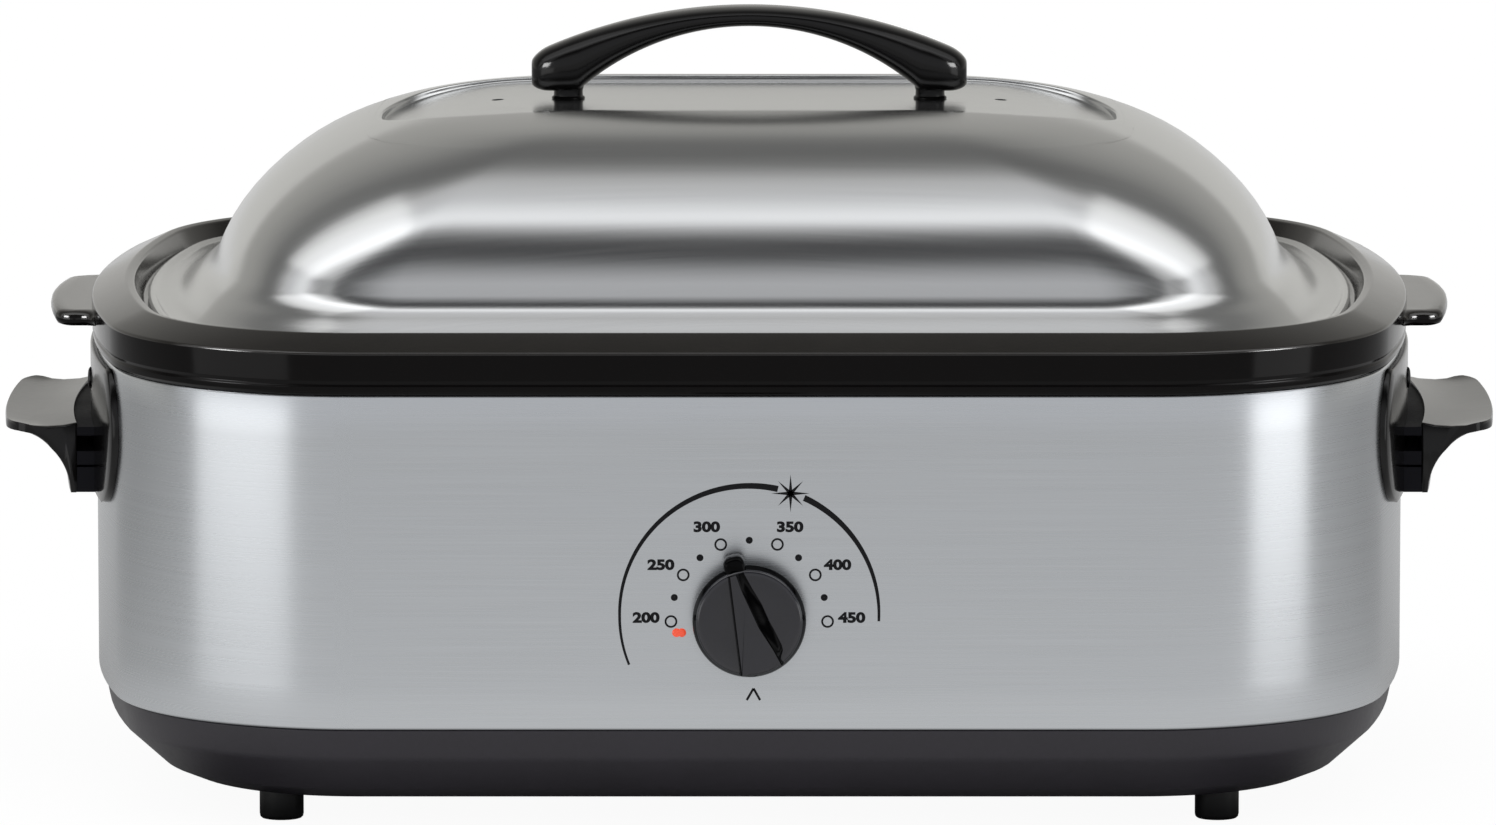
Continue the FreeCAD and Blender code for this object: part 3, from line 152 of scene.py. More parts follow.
# %% The studio
BANDS = [(0, 0.72, -0.03), (30, 0.66, -0.03), (38, 0.30, -0.02), (44, 0.06, -0.04), (55.5, 0.05, -0.04),
         (62.5, 0.42, 0.0), (68.3, 1.60, -0.02), (75.5, 1.12, -0.02), (84, 0.77, -0.02), (95, 0.71, 0.0),
         (104, 0.28, 0.02), (113, 0.16, 0.02), (125, 0.19, 0.02), (138, 0.33, 0.04), (152, 0.42, 0.05),
         (164, 0.44, 0.05), (172, 0.66, 0.04), (180, 0.66, 0.04)]
world = bpy.data.worlds.new("studio")
bpy.context.scene.world = world
sky = empty_tree(world)
way = add_node(sky, "SeparateXYZ", {0: add_node(sky, "TexCoord")["Generated"]})
angle = maths(sky, "ARCTAN2", way["Z"], maths(sky, "MULTIPLY", way["Y"], -1.0))
turn = maths(sky, "DIVIDE", maths(sky, "MAXIMUM", angle, 0.0), pi)
cards = ramp(sky, turn, [(turned / 180, grey(light / 2, warmth)) for turned, light, warmth in BANDS])
studio_light = add_node(sky, "Background", {"Color": cards, "Strength": 2.0})[0]
plain_white = add_node(sky, "Background", {"Color": (1, 1, 1, 1), "Strength": 1.0})[0]
seen = add_node(sky, "LightPath")["Is Camera Ray"]
add_node(sky, "OutputWorld", {"Surface": mix(sky, seen, studio_light, plain_white)})
print("studio bands:", len(BANDS))

# %% [markdown]
# ## The floor
# The floor is a plain pale sheet. Camera rays see a pale glow with a little plain paper in it,
# and the oven's soft shadow dims the paper, so the background stays white. Mirrored rays see a
# glow of their own, so the steel mirrors a light floor. That glow carries painted shadow and
# painted light: it is painted dark close under the oven and fades again further out, and it is
# painted dimmer beside the oven and brighter behind it than in front. It is the product of two
# ramps: one of the distance in metres, one of the direction in degrees.

# %% The floor
# painted shadow in what the steel mirrors: dark close under the oven, brightest a little way out, fading
# further out
NEAR_PAINTED_SHADE = [(0.0, 0.03), (0.025, 0.08), (0.05, 0.34), (0.1, 0.72), (0.175, 0.76), (0.6, 0.61), (1.0, 0.57)]
# painted light in what the steel mirrors: dimmer beside the oven than in front, brighter behind it
SIDE_PAINTED_LIGHT = [(0, 1.0), (45, 1.0), (75, 0.84), (92, 0.74), (110, 0.60), (128, 0.62), (143, 0.85),
             (160, 1.35), (180, 1.45)]
# the painted shadow in mirrors is measured from the edge of this box
COVER_X, COVER_Y = 0.20, 0.15       # the oven covers the floor this far from its middle
FLOOR_SIZE, FLOOR_TONE, GLOW_STRENGTH, GLOW_SHARE = 60, 0.80, 1.10, 0.86
bpy.ops.mesh.primitive_plane_add(size=FLOOR_SIZE)
floor = bpy.context.object
floor.name = "studio_floor"
paper = bpy.data.materials.new("floor_paper")
tree = empty_tree(paper)
rays = add_node(tree, "LightPath")
matt = add_node(tree, "BsdfDiffuse", {"Color": grey(FLOOR_TONE)})[0]
glow = add_node(tree, "Emission", {"Color": grey(1.0), "Strength": GLOW_STRENGTH})[0]
spot = add_node(tree, "SeparateXYZ", {0: add_node(tree, "TexCoord")["Object"]})
aside = maths(tree, "ABSOLUTE", spot["X"])
behind = maths(tree, "SUBTRACT", spot["Y"], CENTRE_Y * MM)
squares = [maths(tree, "POWER", maths(tree, "MAXIMUM", maths(tree, "SUBTRACT", far, cover), 0.0), 2.0)
           for far, cover in ((aside, COVER_X), (maths(tree, "ABSOLUTE", behind), COVER_Y))]
away = maths(tree, "SQRT", maths(tree, "ADD", *squares))
painted_shade_by_distance = ramp(tree, away, [(metres, grey(light)) for metres, light in NEAR_PAINTED_SHADE])
direction = maths(tree, "ARCTAN2", aside, maths(tree, "MULTIPLY", behind, -1.0))
painted_light_by_direction = ramp(tree, maths(tree, "DIVIDE", direction, pi),
                 [(turned / 180, grey(share / 2)) for turned, share in SIDE_PAINTED_LIGHT])
both = add_node(tree, "Mix", {"Factor": 1.0, "A": painted_shade_by_distance, "B": painted_light_by_direction}, data_type="RGBA",
                blend_type="MULTIPLY")["Result"]
# the glow that mirrors see, carrying the painted shadow and painted light
mirrored = add_node(tree, "Emission", {"Color": both, "Strength": 2.0})[0]
for_camera = mix(tree, GLOW_SHARE, matt, glow)
for_steel = mix(tree, rays["Is Glossy Ray"], matt, mirrored)
add_node(tree, "OutputMaterial", {"Surface": mix(tree, rays["Is Camera Ray"], for_steel, for_camera)})
floor.data.materials.append(paper)
print("floor laid at height", floor.location.z)

# %% [markdown]
# ## Soft boxes
# Low upright soft boxes stand at the front corners, out of the frame, and draw the tall
# bright bands on the rounded corners of the steel. Two more hang higher at the sides, for the
# white lights on the shoulders of the lid. Each of those is a wide lamp with a smaller one in
# it, so that the light it draws has a bright core and a soft edge. A last small pair shines
# on the lid's handle and the ears alone, for the glints that black gloss needs. The cookwell's
# rim has a pair of its own, with a beam so narrow that it only reaches the front corners.


# %% Soft boxes
def soft_box(name, place, aim, size, power):
    """A rectangular lamp that the camera doesn't see."""
    lamp = bpy.data.lights.new(name, "AREA")
    lamp.shape = "RECTANGLE"
    lamp.size, lamp.size_y = size
    lamp.energy = power
    stand = show(name, lamp)
    stand.location = place
    stand.rotation_euler = (Vector(aim) - Vector(place)).to_track_quat("-Z", "Y").to_euler()
    stand.visible_camera = stand.visible_diffuse = False
    return stand


GLINT_SIZE, GLINT_POWER, RIM_POWER, RIM_BEAM = (0.42, 0.30), 8.0, 0.2, 26
black_pieces, rim_pieces = [bpy.data.collections.new(name) for name in ("black_pieces", "rim_pieces")]
soft_box("strip_light_left", (-0.77, -0.56, 0.15), (-0.2, -0.1, 0.14), (0.66, 0.30), 0.61)
soft_box("strip_light_right", (0.84, -0.43, 0.15), (0.2, -0.1, 0.14), (0.40, 0.30), 0.50)
for side, name in SIDES:
    for part, width, power in (("wide", 1.05, 1.7), ("core", 0.55, 0.75)):
        soft_box(f"shoulder_light_{part}_{name}", (side * 0.84, -0.27, 1.28), (side * 0.17, -0.13, 0.23),
                 (width, width * 0.9), power)
    place, rim_corner = (side * 0.95, -0.52, 0.55), (side * 0.21, -0.184, 0.195)
    glint = soft_box(f"glint_light_{name}", place, (0.0, 0.0, 0.23), GLINT_SIZE, GLINT_POWER)
    glint.light_linking.receiver_collection = black_pieces
    rim_glint = soft_box(f"rim_glint_{name}", place, rim_corner, GLINT_SIZE, RIM_POWER)
    rim_glint.data.spread = radians(RIM_BEAM)
    rim_glint.light_linking.receiver_collection = rim_pieces
print("lamps:", len(bpy.data.lights))

# %% [markdown]
# ## One family of plan curves
# Seen from above, every pressing of this oven has the same outline at some distance from the
# steel: straight long sides, slightly bowed ends and round corners. One function that walks
# round such an outline, always with the same number of stations, lets rings at different
# heights be joined point by point into clean four-sided faces.

# %% One family of plan curves
HALF_LENGTH, HALF_WIDTH, CORNER, BOW = 267.0, 200.0, 100.0, 600.0
SIDE_STEPS, CORNER_STEPS, END_STEPS = 30, 18, 16


def arc(middle, radius, start, end, steps, last=False):
    """Points along an arc between two angles, with or without its last one."""
    angles = [start + (end - start) * i / steps for i in range(steps + last)]
    return [(middle[0] + radius * cos(a), middle[1] + radius * sin(a)) for a in angles]


def middles(half_x, half_y, corner, bow):
    """Where an outline's bow and its corner have their middles."""
    end_x, corner_y = half_x - bow, half_y - corner
    return end_x, end_x + sqrt((bow - corner) ** 2 - corner_y ** 2), corner_y


def outline(half_x, half_y, corner, bow):
    """Points once round a plan outline, starting at the front left and going right."""
    end_x, corner_x, corner_y = middles(half_x, half_y, corner, bow)
    tilt, square = atan2(corner_y, corner_x - end_x), pi / 2
    points = [(corner_x * (2 * i / SIDE_STEPS - 1), -half_y) for i in range(SIDE_STEPS)]
    points += arc((corner_x, -corner_y), corner, -square, -tilt, CORNER_STEPS)
    points += arc((end_x, 0.0), bow, -tilt, tilt, END_STEPS)
    points += arc((corner_x, corner_y), corner, tilt, square, CORNER_STEPS)
    return points + [(-x, -y) for x, y in points]


def around(offset):
    """The oven's own outline, moved outwards by an offset."""
    return outline(HALF_LENGTH + offset, HALF_WIDTH + offset, CORNER + offset, BOW + offset)


def level(points, height):
    """A plan outline lifted to one height."""
    return [(x, y, height) for x, y in points]


print("stations round every outline:", len(around(0)))

# %% [markdown]
# ## From rings to sheet metal
# A pressing is a stack of rings from its outer edge inwards, joined by faces. A second set of
# coordinates goes with it: where each point lay on the flat blank before pressing. The
# brushing runs along the blank, so the grain bends over the corners as it does on real steel.


# %% From rings to sheet metal
def finish_mesh(name, mesh, sharp):
    """Wraps a mesh in an object with smooth faces, creased where the surface really turns."""
    mesh.validate()
    for face in mesh.polygons:
        face.use_smooth = True
    mesh.set_sharp_from_angle(angle=radians(sharp))
    return show(name, mesh)


def skin(name, rings, caps="", sharp=40.0, blank=None):
    """Joins rings of points into one sheet; caps says which ends are closed: first, last or both."""
    form = bmesh.new()
    grain = form.loops.layers.uv.new("blank")
    rows = [[form.verts.new((x * MM, (y + CENTRE_Y) * MM, z * MM)) for x, y, z in ring] for ring in rings]
    blank = blank or [[(x * MM, y * MM) for x, y, z in ring] for ring in rings]
    flat = {vertex: place for row, places in zip(rows, blank) for vertex, place in zip(row, places)}
    for low, high in zip(rows, rows[1:]):
        for j in range(len(low)):
            k = (j + 1) % len(low)
            form.faces.new((low[j], low[k], high[k], high[j]))
    if caps in ("last", "both"):
        form.faces.new(rows[-1])
    if caps in ("first", "both"):
        form.faces.new(rows[0][::-1])
    for face in form.faces:
        for loop in face.loops:
            loop[grain].uv = flat[loop.vert]
    mesh = bpy.data.meshes.new(name)
    form.to_mesh(mesh)
    form.free()
    return finish_mesh(name, mesh, sharp)


def apply_modifier(piece, kind, **settings):
    """Adds a modifier and makes its result the piece's own mesh."""
    change = piece.modifiers.new(kind.title(), kind)
    for name, value in settings.items():
        setattr(change, name, value)
    graph = bpy.context.evaluated_depsgraph_get()
    made = bpy.data.meshes.new_from_object(piece.evaluated_get(graph))
    piece.modifiers.clear()
    piece.data = made


def thicken(piece, sheet):
    """Gives a skin the thickness of its sheet, inwards."""
    apply_modifier(piece, "SOLIDIFY", thickness=sheet * MM, offset=-1.0)


def dress(pieces, body, finish, node=None):
    """Gives pieces their body, slot and finish, and hides the solid that they stand in for, if one is named.
    """
    for piece in pieces:
        piece.data.materials.clear()
        piece.data.materials.append(finish)
        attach(piece, body)
    if node:
        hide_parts(node)


def second_finish(piece, finish, chosen):
    """Gives the faces that a test picks a finish of their own."""
    piece.data.materials.append(finish)
    for face in piece.data.polygons:
        if chosen(face):
            face.material_index = 1


print("helpers ready")

# %% [markdown]
# ## What all finishes share
# No real surface is quite even. Two noises, one fine and one broad, are mixed. The mixture
# varies the colour and the gloss a little, and the fine noise alone moves the surface. The
# noises are made by the finish itself, so each finish decides what its own grain looks like.


# %% What all finishes share
def new_finish(name):
    """A material, its node tree, and the inputs of the shader that it starts with."""
    finish = bpy.data.materials.new(name)
    finish.use_nodes = True
    return finish, finish.node_tree, finish.node_tree.nodes["Principled BSDF"].inputs


def noise(tree, place, **inputs):
    return add_node(tree, "TexNoise", {"Vector": place, **inputs})["Fac"]


def vary(tree, inputs, fine, broad, fine_share, tone, spread, edge, gloss, bump):
    """Lets two noises move a shader's colour, gloss and surface, between the marks edge and 1 - edge."""
    mixed = maths(tree, "ADD", maths(tree, "MULTIPLY", fine, fine_share),
                  maths(tree, "MULTIPLY", broad, 1 - fine_share))
    low, high = [tuple(part * factor for part in screen(*tone)[:3]) + (1.0,)
                 for factor in (1 - spread, 1 + spread)]
    shine = add_node(tree, "MapRange", {"Value": mixed, "From Min": edge, "From Max": 1 - edge,
                                        "To Min": gloss[0], "To Max": gloss[1]})
    relief = add_node(tree, "Bump", {"Height": fine, "Strength": bump[0], "Distance": bump[1]})
    fill(tree, inputs, {"Base Color": ramp(tree, mixed, [(edge, low), (1 - edge, high)]),
                        "Roughness": shine["Result"], "Normal": relief["Normal"]})


print("shared parts of a finish ready")

# %% [markdown]
# ## Brushed steel
# Brushing leaves fine scratches along the sheet. They stretch every reflection across the
# grain, which anisotropy does, and they show as faint streaks, which a noise that is long
# along the grain and short across it does. Both follow the blank, not the world.


# %% Brushed steel
GRAINS = ((9.0, 1500.0, 1.0), 3.0), ((3.0, 140.0, 1.0), 4.0)   # fine and broad: scale on the blank, detail


def brushed_steel(name, tone, roughness, streaks):
    """Stainless steel with its grain along the blank's first direction."""
    finish, tree, inputs = new_finish(name)
    blank = add_node(tree, "UVMap", uv_map="blank")["UV"]
    fine, broad = [noise(tree, add_node(tree, "Mapping", {0: blank, "Scale": scale})[0],
                         Scale=1.0, Detail=detail, Roughness=0.6)
                   for scale, detail in GRAINS]
    gloss, bump = (roughness - 0.02, roughness + 0.02), (0.03, 0.0002)
    vary(tree, inputs, fine, broad, 0.75, tone, streaks, 0.30, gloss, bump)
    along = add_node(tree, "Tangent", direction_type="UV_MAP", uv_map="blank")[0]
    fill(tree, inputs, {"Tangent": along, "Metallic": 1.0, "Anisotropic": 0.45, "Anisotropic Rotation": 0.25})
    return finish


wrap_steel = brushed_steel("wrap_steel", (205, 208, 211), 0.28, 0.04)
lid_steel = brushed_steel("lid_steel", (206, 207, 207), 0.18, 0.03)
print("steels:", wrap_steel.name, lid_steel.name)

# %% [markdown]
# ## Paint, enamel and moulded plastic
# All of these are dark, and they differ in how they shine. Paint is satin with a fine orange
# peel, enamel is glass fused to steel, and moulded plastic has a soft, slightly wavy gloss.


# %% Paint, enamel and moulded plastic
def coated(name, tone, roughness, grain_size, relief, spread=0.12, metal=0.0, specular=0.5):
    """A finish whose colour, gloss and surface all vary a little, at the size of its own grain."""
    finish, tree, inputs = new_finish(name)
    place = add_node(tree, "TexCoord")["Object"]
    fine, broad = [noise(tree, place, Scale=scale, Detail=3.0) for scale in (1000 / grain_size, 22.0)]
    gloss, bump = (roughness * 0.88, roughness * 1.12), (relief, 0.0004)
    vary(tree, inputs, fine, broad, 0.4, tone, spread, 0.35, gloss, bump)
    fill(tree, inputs, {"Metallic": metal, "Specular IOR Level": specular})
    return finish


pan_paint = coated("pan_paint", (50, 47, 54), 0.42, 2.2, 0.10)
# the enamel's sides get a weaker gloss than real enamel as painted shade; the next copy, lighter and
# glossier, is painted light for the faces that look up
enamel = coated("black_enamel_glass", (11, 8, 8), 0.12, 9.0, 0.03, specular=0.13)
enamel_painted_light_on_top = coated("enamel_glass_painted_light_on_top", (38, 35, 31), 0.13, 9.0, 0.03, specular=0.62)
grip_plastic = coated("grip_plastic", (15, 14, 14), 0.15, 3.0, 0.05, specular=0.28)
web_plastic = coated("web_plastic", (27, 27, 32), 0.6, 2.0, 0.10, specular=0.10)
knob_plastic = coated("knob_face_plastic", (28, 28, 37), 0.16, 1.6, 0.03, specular=0.72)
# painted shade: a darker, duller copy of the knob's plastic, for its sloping faces and its pointer
knob_painted_shade = coated("knob_plastic_painted_shade", (6, 6, 7), 0.10, 2.0, 0.03, specular=0.06)
foot_rubber = coated("foot_rubber", (12, 12, 13), 0.45, 1.8, 0.15, specular=0.25)
print("finishes:", len(bpy.data.materials))

# %% [markdown]
# ## The lid's pressed dome
# The dome rises from a flat flange through a wide concave flare, and its sides follow a
# quarter of an ellipse up to a flat top. Each ring of the dome is a plan outline of its own,
# so the height of any point comes from asking which outline it lies on.

# %% The lid's pressed dome
LEDGE_TOP, FLANGE_TOP, DOME_HEIGHT = 192.7, 194.9, 80.6
CROWN_X, CROWN_Y, CROWN_CORNER, FOOT_CORNER = 84.0, 59.0, 50.0, 70.0
RISE_X, RISE_Y, LID_BOW = 136.0, 94.0, 556.0
CROWN_FALL, FALL_FROM, FALL_OVER = 19.0, 65.0, 25.0     # the top slopes a little at the panel's long edges
STEEL_SHEET = 0.8


def smooth_step(share):
    """An even change from 0 to 1, level at both ends."""
    share = min(max(share, 0.0), 1.0)
    return share * share * (3 - 2 * share)


def dome_plan(angle):
    """The dome's plan at an angle up its elliptic side: half sizes, corner and end bow."""
    spread = cos(angle)
    narrowing = CROWN_FALL * smooth_step((degrees(angle) - FALL_FROM) / FALL_OVER)
    return (CROWN_X + RISE_X * spread, CROWN_Y + RISE_Y * spread - narrowing,
            CROWN_CORNER + (FOOT_CORNER - CROWN_CORNER) * spread, LID_BOW)


def beyond(x, y, plan):
    """How far a point lies outside a plan outline; negative inside."""
    half_x, half_y, corner, bow = plan
    end_x, corner_x, corner_y = middles(*plan)
    x, y = abs(x), abs(y)
    if y <= (x - end_x) * corner_y / (corner_x - end_x):
        return hypot(x - end_x, y) - bow
    return y - half_y if x <= corner_x else hypot(x - corner_x, y - corner_y) - corner


def dome_height(x, y):
    """The dome's height over a point of the plan, closed in on by halving."""
    low, high = 0.0, pi / 2
    if beyond(x, y, dome_plan(high)) <= 0:
        return FLANGE_TOP + DOME_HEIGHT
    for _ in range(30):
        middle = (low + high) / 2
        low, high = (low, middle) if beyond(x, y, dome_plan(middle)) > 0 else (middle, high)
    return FLANGE_TOP + DOME_HEIGHT * sin(low)


def between(ring_a, ring_b, share):
    """A ring of plan points part of the way from one ring to another."""
    return [tuple(a + (b - a) * share for a, b in zip(p, q)) for p, q in zip(ring_a, ring_b)]


print("dome height over the middle:", dome_height(0, 0))

# %% [markdown]
# ## The lid's rings
# From the outside in: the rolled edge, the flange, the flare, the dome's side, the shoulder,
# the small step down into the sunk panel, and the panel's floor, which follows the arch. Two
# round steam vents are drilled through that floor. The lists are read in millimetres: how far
# out and how high for the edge, how far from the dome's foot and how high for the flare, and
# how far outside the panel and how far down for its step.

# %% The lid's rings
PANEL, PANEL_DEPTH, PANEL_LIP = (150.0, 58.0, 52.0, 600.0), 3.5, 1.2
EDGE_PROFILE = [(-25.4, 194.05), (-24.6, 193.3), (-23.6, 192.85), (-22.6, 192.8), (-21.7, 193.2),
                (-21.15, 194.0), (-21.1, 194.9), (-21.5, 195.7), (-22.3, 196.2), (-23.2, 196.25),
                (-24.1, 195.95), (-24.9, 195.3), (-25.8, 194.95), (-27.0, 194.9)]
FLANGE_INNER, FLANGE_WIDTH = -28.0, 19.0
FLARE = [(17.0, 0.0), (15.0, 0.15), (13.2, 0.6), (11.6, 1.5), (10.0, 2.8), (8.2, 4.5), (6.4, 6.3),
         (4.5, 8.1), (2.6, 9.7), (1.3, 11.5), (0.5, 13.7), (0.1, 16.3)]
PANEL_STEP = [(0.65, 0.12), (0.2, 0.45), (0.0, 1.3), (-0.2, 2.7), (-0.8, 3.3), (-2.4, 3.5)]
SIDE_ANGLES, SHOULDER, LIP_EASE = range(15, 61, 4), radians(57), 1.2
FLOOR_SHARES, FLOOR_LENGTH = (0.93, 0.8, 0.6, 0.4, 0.2, 0.05), 0.35      # the floor closes on a short line
VENT_X, VENT_Y, VENT_RADIUS = 103.0, 3.0, 2.5
DRILL_LENGTH, DRILL_HEIGHT = 0.03, 0.27


def rounding(past):
    """How much is left of a rounded end: all of it where past is 0, and nothing at 1."""
    return sqrt(max(1 - past ** 2, 0.0))


def panel_floor(x):
    """The sunk floor: the dome's lengthwise arch, a little lower."""
    past = max(abs(x) - CROWN_X, 0) / (RISE_X - PANEL_DEPTH)
    return FLANGE_TOP + (DOME_HEIGHT - PANEL_DEPTH) * rounding(past)


def panel_plan(grow):
    half_x, half_y, corner, bow = PANEL
    return outline(half_x + grow, half_y + grow, corner + grow, bow)


def stacked(profile):
    """Rings of the oven's own outline, from (offset, height) pairs."""
    return [level(around(offset), height) for offset, height in profile]


def lid_rings():
    rings = stacked(EDGE_PROFILE)
    for reach, height in FLARE:
        wall = outline(*dome_plan(asin(height / DOME_HEIGHT)))
        rings.append(level(between(wall, around(FLANGE_INNER), reach / FLANGE_WIDTH), FLANGE_TOP + height))
    for angle in map(radians, SIDE_ANGLES):
        rings.append(level(outline(*dome_plan(angle)), FLANGE_TOP + DOME_HEIGHT * sin(angle)))
    shoulder, lip = outline(*dome_plan(SHOULDER)), panel_plan(PANEL_LIP)
    for i in range(1, 11):
        plan = between(shoulder, lip, 1 - (1 - i / 10) ** LIP_EASE)
        rings.append([(x, y, dome_height(x, y)) for x, y in plan])
    for grow, drop in PANEL_STEP:
        share = drop / PANEL_DEPTH
        rings.append([(x, y, dome_height(x, y) * (1 - share) + panel_floor(x) * share)
                      for x, y in panel_plan(grow)])
    for share in FLOOR_SHARES:
        inwards = FLOOR_LENGTH + (1 - FLOOR_LENGTH) * share
        rings.append([(x * inwards, y * share, panel_floor(x * inwards))
                      for x, y in panel_plan(PANEL_STEP[-1][0])])
    return rings


def unrolled(rings):
    """Where each point lies on the flat blank: distances measured along the sheet from its middle."""
    flat = [[(x * MM, y * MM) for x, y, z in rings[-1]]]
    ways = [(0.0, -1.0 if y < 0 else 1.0) for x, y, z in rings[-1]]
    for ring, inner in zip(rings[-2::-1], rings[:0:-1]):
        row = []
        for j, ((x, y, z), (ax, ay, az)) in enumerate(zip(ring, inner)):
            step, plan_step = hypot(x - ax, y - ay, z - az), hypot(x - ax, y - ay)
            if plan_step > 0.2 * step:      # a wall steeper than this keeps the way of the ring before
                ways[j] = ((x - ax) / plan_step, (y - ay) / plan_step)
            row.append(tuple(spot + way * step * MM for spot, way in zip(flat[-1][j], ways[j])))
        flat.append(row)
    return flat[::-1]


rings = lid_rings()
lid_skin = skin("lid_dome_sheet", rings, "last", 70.0, unrolled(rings))
thicken(lid_skin, STEEL_SHEET)
for side, _ in SIDES:
    place = (side * VENT_X * MM, (CENTRE_Y + VENT_Y) * MM, DRILL_HEIGHT)
    bpy.ops.mesh.primitive_cylinder_add(radius=VENT_RADIUS * MM, depth=DRILL_LENGTH, vertices=28,
                                        location=place)
    drill = bpy.context.object
    apply_modifier(lid_skin, "BOOLEAN", operation="DIFFERENCE", object=drill)
    bpy.data.objects.remove(drill)
dress([lid_skin], "lid", lid_steel, "lid_shell")
print("lid faces:", len(lid_skin.data.polygons))

# %% [markdown]
# ## The steel wrap
# The wall of the oven is one strip of brushed sheet, bent round and turned in at the top and
# at the bottom. The blank coordinates run round the strip and up it.

# %% The steel wrap
SHELL_BOTTOM, SHELL_TOP, BEND = 43.7, 178.2, 1.2


def strip_blank(rings):
    """Flat places on a strip: the way round, and the way across."""
    girth, across = [0.0], [0.0]
    for point, before in zip(rings[0][1:], rings[0]):
        girth.append(girth[-1] + dist(point, before))
    for ring, before in zip(rings[1:], rings):
        across.append(across[-1] + dist(ring[0], before[0]))
    return [[(round_way * MM, up * MM) for round_way in girth] for up in across]


def pressing(name, profile, sharp=40.0, caps=""):
    """A skin from a profile of (offset, height) pairs round the oven's own outline."""
    rings = stacked(profile)
    return skin(name, rings, caps, sharp, strip_blank(rings))


wall_low, wall_high = SHELL_BOTTOM + BEND, SHELL_TOP - BEND
wrap_profile = [(-12.0, SHELL_BOTTOM), (-3.0, SHELL_BOTTOM), (-1.0, SHELL_BOTTOM + 0.1),
                (-0.25, SHELL_BOTTOM + 0.45)]
wrap_profile += [(0.0, wall_low + (wall_high - wall_low) * i / 8) for i in range(9)]
wrap_profile += [(-0.3, SHELL_TOP - 0.4), (-1.0, SHELL_TOP - 0.05), (-3.0, SHELL_TOP), (-16.0, SHELL_TOP)]
wrap = pressing("steel_wrap", wrap_profile, sharp=60.0)
thicken(wrap, STEEL_SHEET)
dress([wrap], "housing", wrap_steel, "outer_shell")
print("wrap faces:", len(wrap.data.polygons))

# %% [markdown]
# ## Rounded profiles
# Pressed and moulded parts have no knife edges. A profile is drawn with straight runs first,
# and then each of its corners is swapped for a short arc.


# %% Rounded profiles
def soften(points, radii, steps=4):
    """An open profile with each inner corner replaced by an arc of its own radius."""
    smooth = [points[0]]
    for before, corner, after, radius in zip(points, points[1:], points[2:], radii):
        way_in = (Vector(before) - Vector(corner)).normalized()
        way_out = (Vector(after) - Vector(corner)).normalized()
        half_angle = way_in.angle(way_out) / 2
        reach = radius / tan(half_angle)
        middle = Vector(corner) + (way_in + way_out).normalized() * radius / sin(half_angle)
        first, last = [Vector(corner) + way * reach - middle for way in (way_in, way_out)]
        swing = first.angle(last)
        for i in range(steps + 1):
            spoke = first * sin((1 - i / steps) * swing) + last * sin(i / steps * swing)
            smooth.append(tuple(middle + spoke / sin(swing)))
    return smooth + [points[-1]]


print("rounded corner has", len(soften([(0, 0), (10, 0), (10, 10)], [2.0])), "points")

# %% [markdown]
# ## The base pan
# The pan is a shallow painted tray that the steel stands on. An upright band meets the steel
# with a fine dark joint, then a slope runs in to the flat floor that carries the feet.

# %% The base pan
PAN_UNDERSIDE, PAN_SHEET = 11.2, 1.0
pan_corners = [(-60.0, PAN_UNDERSIDE), (-33.0, PAN_UNDERSIDE), (-21.0, 16.2), (-4.6, 31.0), (-2.1, 43.4),
               (-4.0, 43.4), (-5.6, 36.0)]
pan_radii = [8.0, 9.0, 5.0, 0.5, 0.4]
pan = pressing("pan_pressing", soften(pan_corners, pan_radii, steps=5), caps="first")
thicken(pan, PAN_SHEET)
dress([pan], "housing", pan_paint, "base_pan")
print("pan faces:", len(pan.data.polygons))

# %% [markdown]
# ## The enamelled cookwell
# One deep pressing: a rolled bead that rests on the steel, an upright skirt, a sloping rim, a
# recess for the lid, and the pan itself. Enamel flows a little before it sets, so every edge
# of it is round.

# %% The enamelled cookwell
RIM_CORNER, RIM_CREST, WELL_FLOOR, WELL_SHEET = 195.2, 201.5, 60.0, 1.4
rim_corners = [(-2.2, 178.6), (-1.6, 178.25), (0.3, 178.25), (1.5, 179.6), (1.7, 181.6), (1.0, 182.6),
               (1.7, 184.0), (2.0, RIM_CORNER), (-12.0, RIM_CREST), (-15.5, RIM_CREST - 0.5),
               (-19.0, LEDGE_TOP), (-36.0, LEDGE_TOP), (-44.0, WELL_FLOOR), (-110.0, WELL_FLOOR)]
rim_radii = [0.3, 0.6, 0.5, 0.7, 0.5, 0.6, 1.6, 2.5, 1.6, 1.5, 4.0, 20.0]
cookwell = pressing("cookwell_enamel", soften(rim_corners, rim_radii, steps=6), sharp=60.0, caps="last")
thicken(cookwell, WELL_SHEET)
print("cookwell faces:", len(cookwell.data.polygons))

# %% [markdown]
# ## The cookwell's ears
# At each end a flat ear stands out of the rim, for lifting the hot cookwell with two cloths.
# It is a thick plate with a bowed tip and well-rounded edges, drawn as a stack of outlines
# from its lower face to its upper one. Wherever the rim and the ears face up, they get a lighter,
# glossier copy of the enamel as painted light, and the rest keeps a darker, duller copy as
# painted shade.

# %% The cookwell's ears
EAR_TOP, EAR_BOTTOM, EAR_FLARES_FROM, EAR_FLARE_LENGTH, EAR_DIP = 191.8, 185.6, 272.0, 14.0, 0.35
EAR_STACK = [(9.0, EAR_BOTTOM, 0.0), (2.6, EAR_BOTTOM, 0.6), (1.0, EAR_BOTTOM + 0.6, 0.8),
             (0.2, EAR_BOTTOM + 1.8, 1.0), (0.0, EAR_BOTTOM + 3.0, 1.0), (0.3, EAR_TOP - 1.6, 1.0),
             (1.1, EAR_TOP - 0.6, 1.0), (2.6, EAR_TOP, 1.0), (6.0, EAR_TOP, 0.8), (12.0, EAR_TOP, 0.5)]
# upward faces above this height get the enamel copy with painted light
PAINTED_LIGHT_FACES_ABOVE = 185.0


